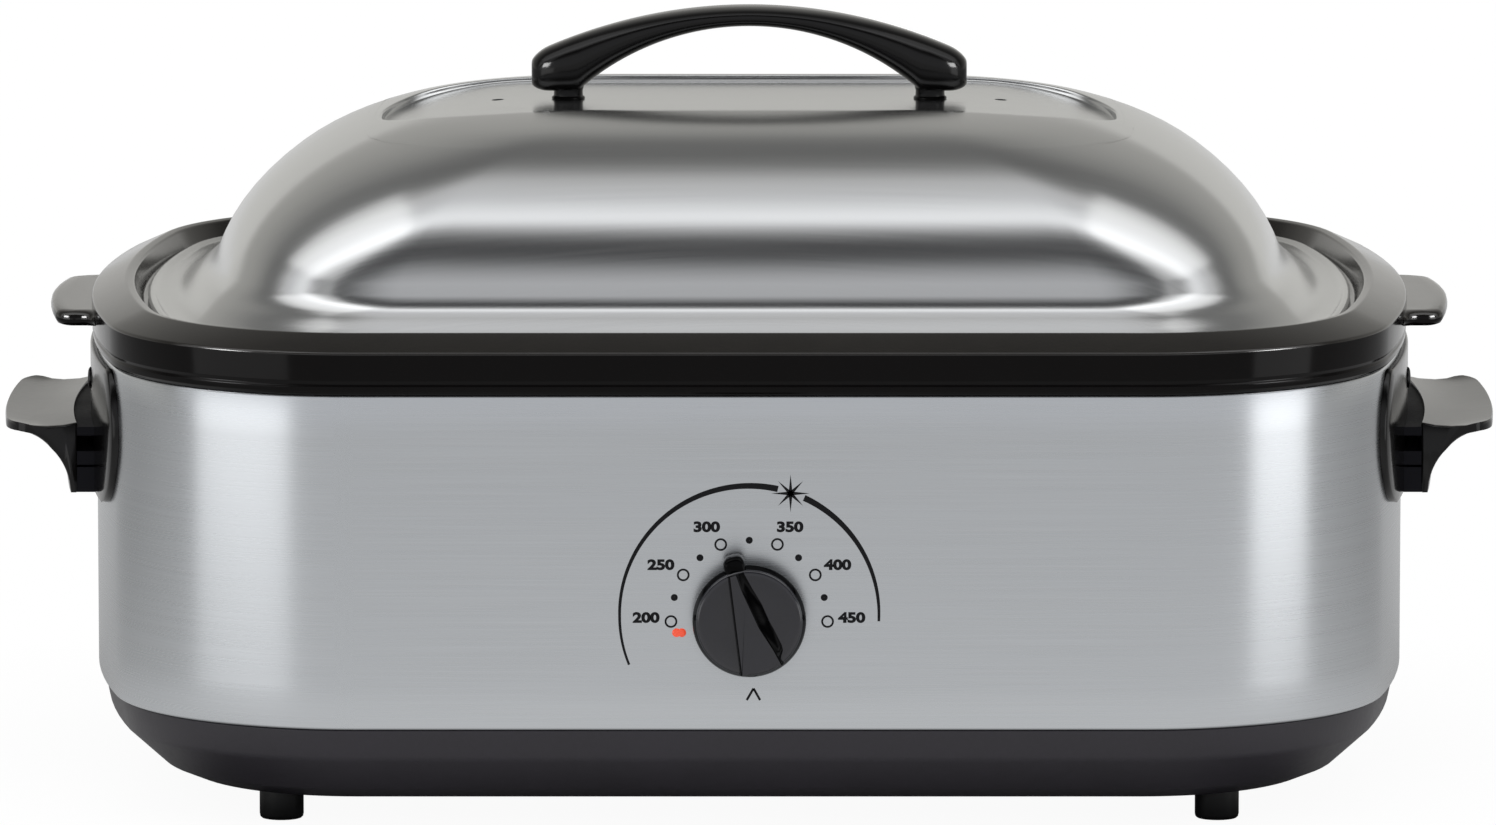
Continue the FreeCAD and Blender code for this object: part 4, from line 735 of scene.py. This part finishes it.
def ear_outline(side, inset):
    """The ear's plan, from its root at the front, round the tip, to its root at the back."""
    half, tip, bow, corner, blend = 56.0 - inset, 286.0 - inset, 300.0, 8.0 - 0.5 * inset, 8.5
    tip_y, blend_x = half - corner, 273.8 - 0.8 * inset
    end = tip - bow + sqrt(bow ** 2 - tip_y ** 2)
    edge = [(blend_x - blend, -half - blend - 3.0)]
    edge += arc((blend_x, -half - blend), blend, pi, pi / 2, 5)
    edge += arc((end - corner, -tip_y), corner, -pi / 2, radians(-10), 6, last=True)
    across = [tip_y * (2 * i / 8 - 1) for i in range(1, 8)]
    points = edge + [(tip - bow + sqrt(bow ** 2 - y ** 2), y) for y in across]
    points += [(x, -y) for x, y in edge[::-1]]
    return [(side * x, y) for x, y in points[::side]]


def ear_ring(side, inset, height, lift):
    """One ring of the ear; it dips a little, then its tip flares up."""
    ring = []
    for x, y in ear_outline(side, inset):
        flare = max(abs(x) - EAR_FLARES_FROM, 0) / EAR_FLARE_LENGTH
        ring.append((x, y, height + lift * (flare ** 2 - EAR_DIP * sin(pi * min(flare, 1)))))
    return ring


ears = [skin(f"cookwell_ear_{name}", [ear_ring(side, *layer) for layer in EAR_STACK], "both", 60.0)
        for side, name in SIDES]
dress([cookwell] + ears, "cookwell", enamel, "cookwell")
for piece in [cookwell] + ears:
    second_finish(piece, enamel_painted_light_on_top,
                  lambda face: face.normal.z > 0.2 and face.center.z > PAINTED_LIGHT_FACES_ABOVE * MM)
print("ears:", [piece.name for piece in ears])

# %% [markdown]
# ## The lid's handle
# A moulded arch on two necks. Its section is a rounded block that grows deeper towards the
# ends, so it is swept as a row of closed sections whose top and bottom follow two arcs.

# %% The lid's handle
HANDLE_TOP, HANDLE_HALF, HANDLE_WIDTH = 310.3, 89.0, 26.0
TOP_ARC, GRIP_ARC, GRIP_DEPTH, END_BOTTOM = 208.0, 105.0, 8.2, 275.3
END_TURN, END_ROUND = 14.0, 7.0     # the end turns in over one length, and rounds off over the other
END_WIDTH, END_HEIGHT = 0.25, 0.55  # what is left of its width and height at the very end
NECK_PROFILE = [(5.2, 271.9), (6.6, 272.0), (6.9, 272.4), (6.6, 272.9), (6.0, 273.3), (5.9, 275.4),
                (6.4, 277.0)]


def rounded_block(half_width, half_height, power, count):
    """A closed section between a circle and a rectangle; a lower power is squarer."""
    def bulge(part):
        return copysign(abs(part) ** power, part)
    return [(half_width * bulge(c), half_height * bulge(s)) for c, s in arc((0, 0), 1.0, 0, TURN, count)]


def handle_section(x):
    """The handle's section at a distance from its middle."""
    high = HANDLE_TOP - TOP_ARC + sqrt(TOP_ARC ** 2 - x ** 2)
    low = END_BOTTOM
    if abs(x) < GRIP_ARC:
        low = max(low, HANDLE_TOP - GRIP_DEPTH - GRIP_ARC + sqrt(GRIP_ARC ** 2 - x ** 2))
    shrink, narrow = [rounding(max(abs(x) - (HANDLE_HALF - length), 0) / length)
                      for length in (END_ROUND, END_TURN)]
    middle, half_height = (high + low) / 2, (high - low) / 2 * (END_HEIGHT + (1 - END_HEIGHT) * shrink)
    half_width = HANDLE_WIDTH / 2 * (END_WIDTH + (1 - END_WIDTH) * narrow)
    return [(x, y, middle + z) for y, z in rounded_block(half_width, half_height, 0.8, 40)]


def turned_part(name, centre, profile):
    """A round part about an upright axis, from (radius, height) pairs."""
    return skin(name, [level(arc(centre, radius, 0, TURN, 40), height) for radius, height in profile],
                caps="both")


spots = [-HANDLE_HALF + END_TURN * (1 - cos(pi / 2 * i / 12)) for i in range(13)]
spots += [(HANDLE_HALF - END_TURN) * (i / 28 - 1) for i in range(1, 56)]
spots += [-x for x in spots[12::-1]]
lid_grip = skin("lid_grip", [handle_section(x) for x in spots], "both", 70.0)
necks = [turned_part(f"lid_grip_neck_{i}", (x, 0.0), NECK_PROFILE) for i, x in enumerate((-74.0, 74.0))]
dress([lid_grip] + necks, "lid", grip_plastic, "lid_handle")
print("handle sections:", len(spots))

# %% [markdown]
# ## The side handles
# Each handle is one moulding: a long escutcheon that hugs the steel, an upright wall a finger
# away from it, a wing that overhangs for lifting, and three webs that tie the wall back. All
# of them follow the bowed end, so they are drawn on the same family of curves.

# %% Places along the bowed end
GRIP_HALF, WALL_BOTTOM = 68.0, 119.0
END_X, CORNER_X, CORNER_Y = HALF_LENGTH - BOW, 156.9, HALF_WIDTH - CORNER


def end_point(offset, y, z):
    """A point over the right end's curve, at a distance from the middle line and at a height."""
    if abs(y) <= (BOW + offset) * sin(atan2(CORNER_Y, CORNER_X - END_X)):
        return END_X + sqrt((BOW + offset) ** 2 - y ** 2), y, z
    return CORNER_X + sqrt((CORNER + offset) ** 2 - (abs(y) - CORNER_Y) ** 2), y, z


def sided(rings, side):
    """Rings made for the right end, turned round for the left one if need be."""
    return [[(side * x, side * y, z) for x, y, z in ring] for ring in rings]


print("the right end stands at x =", round(end_point(0, 0, 0)[0], 1))

# %% [markdown]
# ## The wing and its wall
# The section is a closed outline in offset and height: up the inner wall, over the slightly
# dished top, round the tip, and back down the concave underside. It is swept along the bowed
# end, where it shortens towards both ends of the handle.

# %% The wing and its wall
UNDERSIDE = arc((37.4, WALL_BOTTOM), 25.2, radians(176), radians(92), 14)
WING_PROFILE = ([(9.3, WALL_BOTTOM + 0.6), (9.9, WALL_BOTTOM), (12.0, WALL_BOTTOM)] + UNDERSIDE
                + [(37.35, 144.4), (37.4, 147.0), (37.0, 147.9), (30.0, 146.7), (22.0, 146.2),
                   (15.0, 146.6), (9.6, 147.7), (9.3, 147.2)])
WING_STRAIGHT, WING_PULL = 52.0, 6.5        # how far the tip runs straight, and how much it then draws in
PULL_FROM, PULL_OVER = 20.0, 17.0
END_SHRINK = {GRIP_HALF: 0.7, 67.6: 0.25}   # the last sections are smaller, for a soft edge


def wing(side, name):
    spots = [-GRIP_HALF, -67.6, -66.8, -65.0, -62.0, -58.0, -54.0]
    spots += [-50 + 100 * i / 16 for i in range(17)] + [-y for y in spots[::-1]]
    rings = []
    for y in spots:
        near_end = max(abs(y) - WING_STRAIGHT, 0) / (GRIP_HALF - WING_STRAIGHT)
        pull = WING_PULL * (1 - rounding(near_end))
        shrink = END_SHRINK.get(abs(y), 0.0)
        ring = []
        for offset, z in WING_PROFILE:
            reach = offset - pull * max(offset - PULL_FROM, 0) / PULL_OVER
            reach += shrink * (1 if offset < 10 else -1)
            ring.append(end_point(reach, y, z + shrink * (0.8 if z < 130 else -0.8)))
        rings.append(ring[::-1])
    return skin(f"side_grip_{name}", sided(rings, side), "both", 50.0)


for side, name in SIDES:
    dress([wing(side, name)], "housing", grip_plastic, f"side_handle_{name}")
print("points in the wing's section:", len(WING_PROFILE))

# %% [markdown]
# ## The escutcheon and the webs
# The escutcheon is a thin curved plate with round ends and a soft edge. Its columns stand
# along the bowed end, and each column only runs as high and as low as the outline allows. The
# webs weren't polished in the mould, so they are matt and look darker than the rest.

# %% The escutcheon and the webs
PLATE_TOP, PLATE_SPAN, PLATE_ROUND, ROUND_LEVEL = 176.3, 128.0, 32.0, 152.0
PLATE_EDGE = [(0.05, 0.0), (1.6, 0.0), (2.3, 0.35), (2.6, 1.1)]     # how proud, and how far inside
PLATE_PROUD, PLATE_MIDDLE = 2.6, ROUND_LEVEL - 4
WEBS, WEB_FROM, WEB_TO = ((142.5, 146.0), (130.5, 136.0), (119.3, 129.5)), 2.3, 9.6


def plate_limits(y, inset):
    """The lowest and highest point of the escutcheon at a distance from the middle line."""
    past = abs(y) - (PLATE_SPAN - PLATE_ROUND)
    low, high = WALL_BOTTOM + inset, PLATE_TOP - inset
    if past > 0:
        rise = sqrt(max((PLATE_ROUND - inset) ** 2 - past ** 2, 0.0))
        low, high = max(low, ROUND_LEVEL - rise), min(high, ROUND_LEVEL + rise)
    return low, high


def escutcheon(side, name):
    rows = []
    for offset, inset in PLATE_EDGE:
        spots = [(PLATE_SPAN - inset) * sin(pi / 2 * (i / 24 - 1)) for i in range(49)]
        rows.append([end_point(offset, y, plate_limits(y, inset)[end])
                     for end, part in ((0, spots), (1, spots[-2:0:-1])) for y in part])
    rows += [[end_point(PLATE_PROUD, y * share, PLATE_MIDDLE + (z - PLATE_MIDDLE) * share)
              for x, y, z in rows[3]] for share in (0.92, 0.75, 0.5, 0.25, 0.05)]
    return skin(f"escutcheon_{name}", sided(rows, side), "last", 50.0)


def web(side, name, low, high):
    """A web between the escutcheon and the wall."""
    half = GRIP_HALF - 0.4
    corners = (WEB_FROM, high), (WEB_TO, high), (WEB_TO, low), (WEB_FROM, low)
    rings = [[end_point(offset, half * (i / 10 - 1), z) for offset, z in corners] for i in range(21)]
    return skin(name, sided(rings, side), "both", 30.0)


plates = [escutcheon(side, name) for side, name in SIDES]
webs = [web(side, f"grip_web_{name}_{i}", *heights) for side, name in SIDES for i, heights in enumerate(WEBS)]
dress(plates, "housing", grip_plastic)
dress(webs, "housing", web_plastic)
print("escutcheons:", len(plates), "webs:", len(webs))

# %% [markdown]
# ## The feet and the lamp's lens
# Each foot is a turned moulding with a soft lower edge. The lens is a small red dome with two
# lobes, and the lamp behind it is lit, so its plastic gives off a little light of its own.

# %% The feet and the lamp's lens
FOOT_PROFILE = [(6.8, 0.0), (8.0, 0.15), (8.6, 0.7), (8.85, 1.8), (8.85, 11.6), (8.7, 12.5)]
FOOT_X, FOOT_Y = 187.5, 150.0
for way, row in ((-1, "front"), (1, "rear")):
    for side, name in SIDES:
        node = f"foot_{row}_{name}"
        foot = turned_part(node + "_moulding", (side * FOOT_X, way * FOOT_Y), FOOT_PROFILE)
        dress([foot], "housing", foot_rubber, node)

LENS_X, LENS_Z, LOBE, LOBE_APART, LENS_GLOW = -27.8, 83.1, 1.75, 1.05, 0.45
LENS_LAYERS = [(1.0, -0.6), (1.0, 0.15), (0.93, 0.45), (0.78, 0.66), (0.5, 0.80), (0.2, 0.85)]
LENS_TONE = (255, 92, 62)
lens_finish = coated("clear_red_lens", LENS_TONE, 0.12, 1.2, 0.06, spread=0.25)
tree = lens_finish.node_tree
fill(tree, tree.nodes["Principled BSDF"].inputs,
     {"Emission Color": screen(*LENS_TONE), "Emission Strength": LENS_GLOW})


def lens_ring(share, proud):
    ring = []
    for c, s in arc((0, 0), 1.0, 0, TURN, 48):
        reach = LOBE_APART * abs(c) + sqrt(LOBE ** 2 - (LOBE_APART * s) ** 2)
        ring.append((LENS_X + share * reach * c, -HALF_WIDTH - proud, LENS_Z + share * reach * s))
    return ring


lens = skin("lamp_lens_dome", [lens_ring(*layer) for layer in LENS_LAYERS], "last", 60.0)
dress([lens], "housing", lens_finish, "pilot_lens")
print("lens faces:", len(lens.data.polygons))

# %% [markdown]
# ## The temperature knob
# The knob is a short turned body with a wide bevel. A wedge stands on its face, narrow at the
# pointer and wide at the other end, and one of its flanks is a broad slope. All of
# it is drawn upright, and then turned to the angle where the knob rests.

# %% The temperature knob
KNOB_Z, KNOB_TURN, KNOB_STEPS = 89.5, radians(16), 96
BODY_PROFILE = [(19.6, 1.05), (20.4, 1.3), (20.8, 2.0), (21.7, 7.0), (22.3, 9.4), (22.5, 10.2), (22.5, 10.8),
                (22.3, 11.5), (21.8, 12.6), (21.1, 14.0), (20.75, 14.6), (20.3, 15.05), (19.7, 15.3),
                (18.9, 15.4), (12.0, 15.3), (5.0, 15.25)]


def knob_spot(across, up, out):
    """A place on the upright knob, turned to its rest angle, out being away from the steel."""
    x = across * cos(KNOB_TURN) - up * sin(KNOB_TURN)
    z = KNOB_Z + across * sin(KNOB_TURN) + up * cos(KNOB_TURN)
    return (x, -HALF_WIDTH - out, z)


def knob_circle(radius, out):
    return [knob_spot(across, up, out) for up, across in arc((0, 0), radius, 0, TURN, KNOB_STEPS)]


knob_body = skin("knob_body", [knob_circle(*layer) for layer in BODY_PROFILE[::-1]], "both", 50.0)
print("knob body faces:", len(knob_body.data.polygons))

# %% [markdown]
# ## The knob's wedge
# The wedge's two edges and two slopes change along its length. Each is a short list of marks,
# a place up the knob and a width there, read with straight runs between the marks. Rings at
# growing heights then narrow the wedge from the foot of its slopes to its top.

# %% The knob's wedge
LEFT_EDGE = [(-20.5, -9.0), (20.5, -2.5)]
RIGHT_EDGE = [(-20.5, 8.4), (-12.4, 6.6), (-2.5, 3.6), (13.2, 1.2), (20.5, 0.7)]
BROAD_SLOPE = [(-20.5, 0.4), (-17.0, 0.5), (-15.6, 1.6), (-14.4, 2.8), (-12.0, 3.5), (-4.0, 4.4), (6.0, 4.5),
               (14.0, 3.6), (20.5, 2.6)]
STEEP_SLOPE = [(-20.5, 0.5), (20.5, 0.6)]
WEDGE_HALF, WEDGE_REACH, TOP_BEVEL = 20.2, 20.9, 0.45
WEDGE_LAYERS = [(1.0, 14.6), (1.0, 15.3), (0.96, 15.5), (0.5, 16.9), (0.06, 18.2), (0.0, 18.45), (-1.0, 18.7)]


def flank(marks, up):
    """A value read off (up, value) marks, with straight runs between them."""
    for (low, a), (high, b) in zip(marks, marks[1:]):
        if up <= high:
            return a + (b - a) * max(up - low, 0.0) / (high - low)
    return marks[-1][1]


def wedge_ring(grow, out):
    """The wedge's outline; grow is 1 at the foot of its slopes, 0 at their top and -1 past the bevel."""
    left, right = [], []
    slope, inset = max(grow, 0.0), TOP_BEVEL if grow < 0 else 0.0
    for i in range(41):
        up = WEDGE_HALF * (i / 20 - 1)
        left.append((flank(LEFT_EDGE, up) + inset - slope * flank(STEEP_SLOPE, up), up))
        right.append((flank(RIGHT_EDGE, up) - inset + slope * flank(BROAD_SLOPE, up), up))
    ring = []
    for across, up in left + right[::-1]:
        room = sqrt(max(WEDGE_REACH ** 2 - across ** 2, 1.0))
        ring.append(knob_spot(across, max(min(up, room), -room), out))
    return ring[::-1]


knob_wedge = skin("knob_wedge", [wedge_ring(*layer) for layer in WEDGE_LAYERS], "last", 25.0)
print("wedge faces:", len(knob_wedge.data.polygons))

# %% [markdown]
# ## The pointer and the painted shade on the slopes
# The pointer is a small rounded nub at the rim. The wedge's flanks and the side of the body
# get a darker, duller copy of the knob's plastic as painted shade, and so does the pointer.

# %% The pointer and the painted shade on the slopes
NUB_MIDDLE, NUB_SIDE, NUB_HALF, NUB_RISE = 22.3, 0.4, 4.4, 4.5
NUB_LAYERS = [(2.2, 0.80), (2.5, 0.90), (3.4, 0.97), (7.0, 1.0), (11.5, 1.0), (13.0, 0.96), (14.0, 0.84),
              (14.6, 0.6)]


def nub_ring(out, share):
    """The pointer's outline at one depth: a rounded block around its own middle."""
    return [knob_spot(NUB_SIDE + across, NUB_MIDDLE + up, out)
            for across, up in rounded_block(share * NUB_HALF, share * NUB_RISE, 0.72, 32)]


knob_nub = skin("knob_pointer", [nub_ring(*layer) for layer in NUB_LAYERS], "both", 60.0)
dress([knob_body, knob_wedge], "knob", knob_plastic, "knob")
dress([knob_nub], "knob", knob_painted_shade)
# painted shade on the faces that turn away from the front
second_finish(knob_body, knob_painted_shade, lambda face: face.normal.y > -0.5)
second_finish(knob_wedge, knob_painted_shade, lambda face: face.normal.y > -0.93)
print("dark faces:", sum(face.material_index for face in knob_wedge.data.polygons))

# %% [markdown]
# ## The printed dial
# The dial is printed on the steel in black ink: a tapering arc, a ring of small circles and
# dots, six temperatures and a mark for off. Ink has almost no thickness, so every shape is a
# flat mesh a few hundredths of a millimetre in front of the steel.

# %% The printed dial
INK_OUT = 0.06
ARC_RADIUS, ARC_RISE = 51.4, 1.1
LONG_ARC, SHORT_ARC = (-112.0, 12.5, 90, 0.95, 2.5, 1.2), (24.5, 92.0, 50, 2.5, 1.05, 1.0)
CIRCLES = (-93.5, -57.3, -21.3, 21.0, 57.3, 93.5), 31.1, (2.15, 0.78, 28)
DOTS = (-75.4, -39.5, 0.0, 39.5, 75.4), 30.7, (0.72, 1.34, 20)
MARK_TIP, MARK_FEET, MARK_HALF_WIDTH = Vector((1.7, -28.8)), ((-1.0, -33.5), (4.3, -33.5)), 0.46


def on_dial(angle, radius):
    """A place on the dial: degrees clockwise from straight up, and a radius."""
    turned = radians(angle)
    return radius * sin(turned), radius * cos(turned)


def print_shape(form, loops, place=(0.0, 0.0)):
    """Adds flat faces to the print from loops of (across, up) spots round a place on the dial."""
    for loop in loops:
        area = sum(a[0] * b[1] - b[0] * a[1] for a, b in zip(loop, loop[1:] + loop[:1]))
        form.faces.new([form.verts.new(((place[0] + x) * MM, (CENTRE_Y - HALF_WIDTH - INK_OUT) * MM,
                                        (KNOB_Z + place[1] + z) * MM))
                        for x, z in (loop if area > 0 else loop[::-1])])


def ribbon(start, end, steps, radius_at, width_at):
    """Quads along an arc whose radius and width depend on the angle."""
    rims = []
    for i in range(steps + 1):
        angle = start + (end - start) * i / steps
        radius, half = radius_at(angle), width_at(angle) / 2
        rims.append((on_dial(angle, radius - half), on_dial(angle, radius + half)))
    return [[a[0], a[1], b[1], b[0]] for a, b in zip(rims, rims[1:])]


def small_circle(radius, width, steps):
    """A small open circle, or a dot when the width reaches its middle."""
    return ribbon(0, 360, steps, lambda angle: radius, lambda angle: width)


def tapering_arc(start, end, steps, first, last, power):
    """An arc round the dial whose width goes from its first to its last value."""
    return ribbon(start, end, steps, lambda angle: ARC_RADIUS + ARC_RISE * max(cos(radians(angle)), 0.0),
                  lambda angle: first + (last - first) * ((angle - start) / (end - start)) ** power)


ink = bmesh.new()
for dial_arc in (LONG_ARC, SHORT_ARC):
    print_shape(ink, tapering_arc(*dial_arc))
for angles, radius, shape in (CIRCLES, DOTS):
    for angle in angles:
        print_shape(ink, small_circle(*shape), on_dial(angle, radius))
for foot in MARK_FEET:
    along = (MARK_TIP - Vector(foot)).normalized() * MARK_HALF_WIDTH
    edge = Vector((-along.y, along.x))
    print_shape(ink, [[Vector(foot) + edge, MARK_TIP + edge, MARK_TIP - edge, Vector(foot) - edge]])
print("ink faces:", len(ink.faces))

# %% [markdown]
# ## Numbers, and a small star in the arc's gap
# Text becomes a curve, and the curve becomes a flat mesh that joins the rest of the print. A
# plain star of eight rays fills the gap between the two arcs.

# %% Numbers, and a small star in the arc's gap
STAR, LONG_RAY, SHORT_RAY, RAY_HALF_WIDTH = on_dial(18.3, 52.1), 7.6, 7.0, 0.8
NUMBERS = {"200": (-40.9, -0.3), "250": (-35.0, 20.9), "300": (-16.8, 36.1), "350": (16.2, 36.1),
           "400": (35.0, 20.9), "450": (40.6, -0.3)}
NUMBER_HEIGHT, NUMBER_STRETCH, CAPITAL_SHARE, BOLDER = 3.85, 1.27, 0.70, 0.072
for i in range(8):
    ray = Vector(on_dial(45.0 * i, 1.0))
    tip, edge = (SHORT_RAY if i % 2 else LONG_RAY) * ray, Vector((ray.y, -ray.x)) * RAY_HALF_WIDTH
    print_shape(ink, [[-edge, tip, edge]], STAR)


def number_loops(text):
    """The faces of a number as loops of spots, centred on its own middle, in millimetres."""
    curve = bpy.data.curves.new("number_" + text, "FONT")
    curve.body, curve.size, curve.offset = text, NUMBER_HEIGHT / CAPITAL_SHARE, BOLDER * NUMBER_HEIGHT
    curve.resolution_u = 6
    writing = show("number_" + text, curve)
    bpy.context.view_layer.update()
    graph = bpy.context.evaluated_depsgraph_get()
    mesh = bpy.data.meshes.new_from_object(writing.evaluated_get(graph))
    bpy.data.objects.remove(writing)
    columns = [[vertex.co.x * NUMBER_STRETCH for vertex in mesh.vertices], [v.co.y for v in mesh.vertices]]
    across, up = [[value - (min(column) + max(column)) / 2 for value in column] for column in columns]
    return [[(across[i], up[i]) for i in face.vertices] for face in mesh.polygons]


for text, place in NUMBERS.items():
    print_shape(ink, number_loops(text), place)
print_mesh = bpy.data.meshes.new("dial_print")
ink.to_mesh(print_mesh)
ink.free()
dial_print = finish_mesh("dial_print", print_mesh, 60.0)
dial_ink = coated("dial_ink", (22, 22, 25), 0.6, 0.6, 0.05, spread=0.2, specular=0.2)
dress([dial_print], "housing", dial_ink)
print("dial print faces:", len(dial_print.data.polygons))

# %% [markdown]
# ## The side handles' screws
# Two screws hold each escutcheon. Their heads are shallow domes, finished dark like the
# moulding, with a small driver's recess sunk into each.

# %% The side handles' screws
SCREW_Y, SCREW_Z = 40.0, 162.25
SCREW_PROFILE = [(2.4, -12.0), (2.4, 0.0), (4.4, 0.0), (4.4, 0.3), (3.9, 0.75), (2.9, 1.05), (1.2, 1.2),
                 (0.9, 0.5)]
dark_screw = coated("dark_screw", (20, 19, 20), 0.3, 1.2, 0.06)


def end_screw(name, side, y):
    """A low domed head on the escutcheon, its axis square to the end."""
    face = end_point(PLATE_PROUD, y, SCREW_Z)[0]
    rings = [[(face + proud, across, z) for across, z in arc((y, SCREW_Z), radius, 0, TURN, 32)]
             for radius, proud in SCREW_PROFILE]
    return skin(name, sided(rings, side), "both", 50.0)


places = [(side, y) for side, _ in SIDES for y in (-SCREW_Y, SCREW_Y)]
end_screws = [end_screw(f"end_screw_{i}", *place) for i, place in enumerate(places)]
dress(end_screws, "housing", dark_screw, "side_handle_screws")
print("end screws:", len(end_screws))

# %% [markdown]
# ## Everything inside
# The solids that keep their own meshes get finishes too: rolled liner steel, mica, glass wool,
# plated screws, chromed wire and pale mouldings. Each has its own grain size and relief.

# %% Everything inside
INSIDE = {
    coated("liner_rolled_steel", (150, 152, 156), 0.38, 4.0, 0.06, metal=1.0): "liner",
    coated("heater_mica", (134, 112, 84), 0.55, 3.0, 0.25, spread=0.3): "heater_band",
    coated("glass_wool", (226, 216, 184), 0.95, 1.4, 0.9, spread=0.2):
        "insulation_blanket insulation_pad",
    coated("plated_steel", (176, 172, 158), 0.28, 1.5, 0.05, metal=1.0):
        "band_clamp clamp_screw thermostat_bracket bracket_screws sensor_strap tie_bars pan_screws"
        " foot_screws lid_washers lid_screws knob_clip control_shaft thermal_fuse",
    coated("chromed_wire", (214, 216, 220), 0.12, 6.0, 0.02, spread=0.05, metal=1.0):
        "rack_frame rack_wires rack_lift_left rack_lift_right",
    coated("pale_moulding", (212, 206, 190), 0.45, 2.5, 0.08):
        "thermostat_body lamp_holder terminal_block",
    coated("gland_moulding", (26, 25, 27), 0.45, 2.0, 0.12): "cord_gland",
    coated("braided_sleeve", (196, 190, 176), 0.7, 0.8, 0.5, spread=0.25):
        "lead_live lead_load lead_heater",
    coated("lamp_glass", (232, 200, 178), 0.08, 2.0, 0.02, spread=0.05): "neon_lamp",
    dark_screw: "handle_backing_left handle_backing_right",
}
for finish, nodes in INSIDE.items():
    for node in nodes.split():
        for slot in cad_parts[node].material_slots:
            slot.material = finish
print("finished inside:", sum(len(nodes.split()) for nodes in INSIDE.values()))

# %% [markdown]
# ## Which pieces the glints fall on
# The small lamps only reach the pieces of their own collections. Steel would mirror them as
# hard white spots, but black gloss shows them as short soft lights along its edges.

# %% Which pieces the glints fall on
for piece in [lid_grip] + ears:
    black_pieces.objects.link(piece)
rim_pieces.objects.link(cookwell)
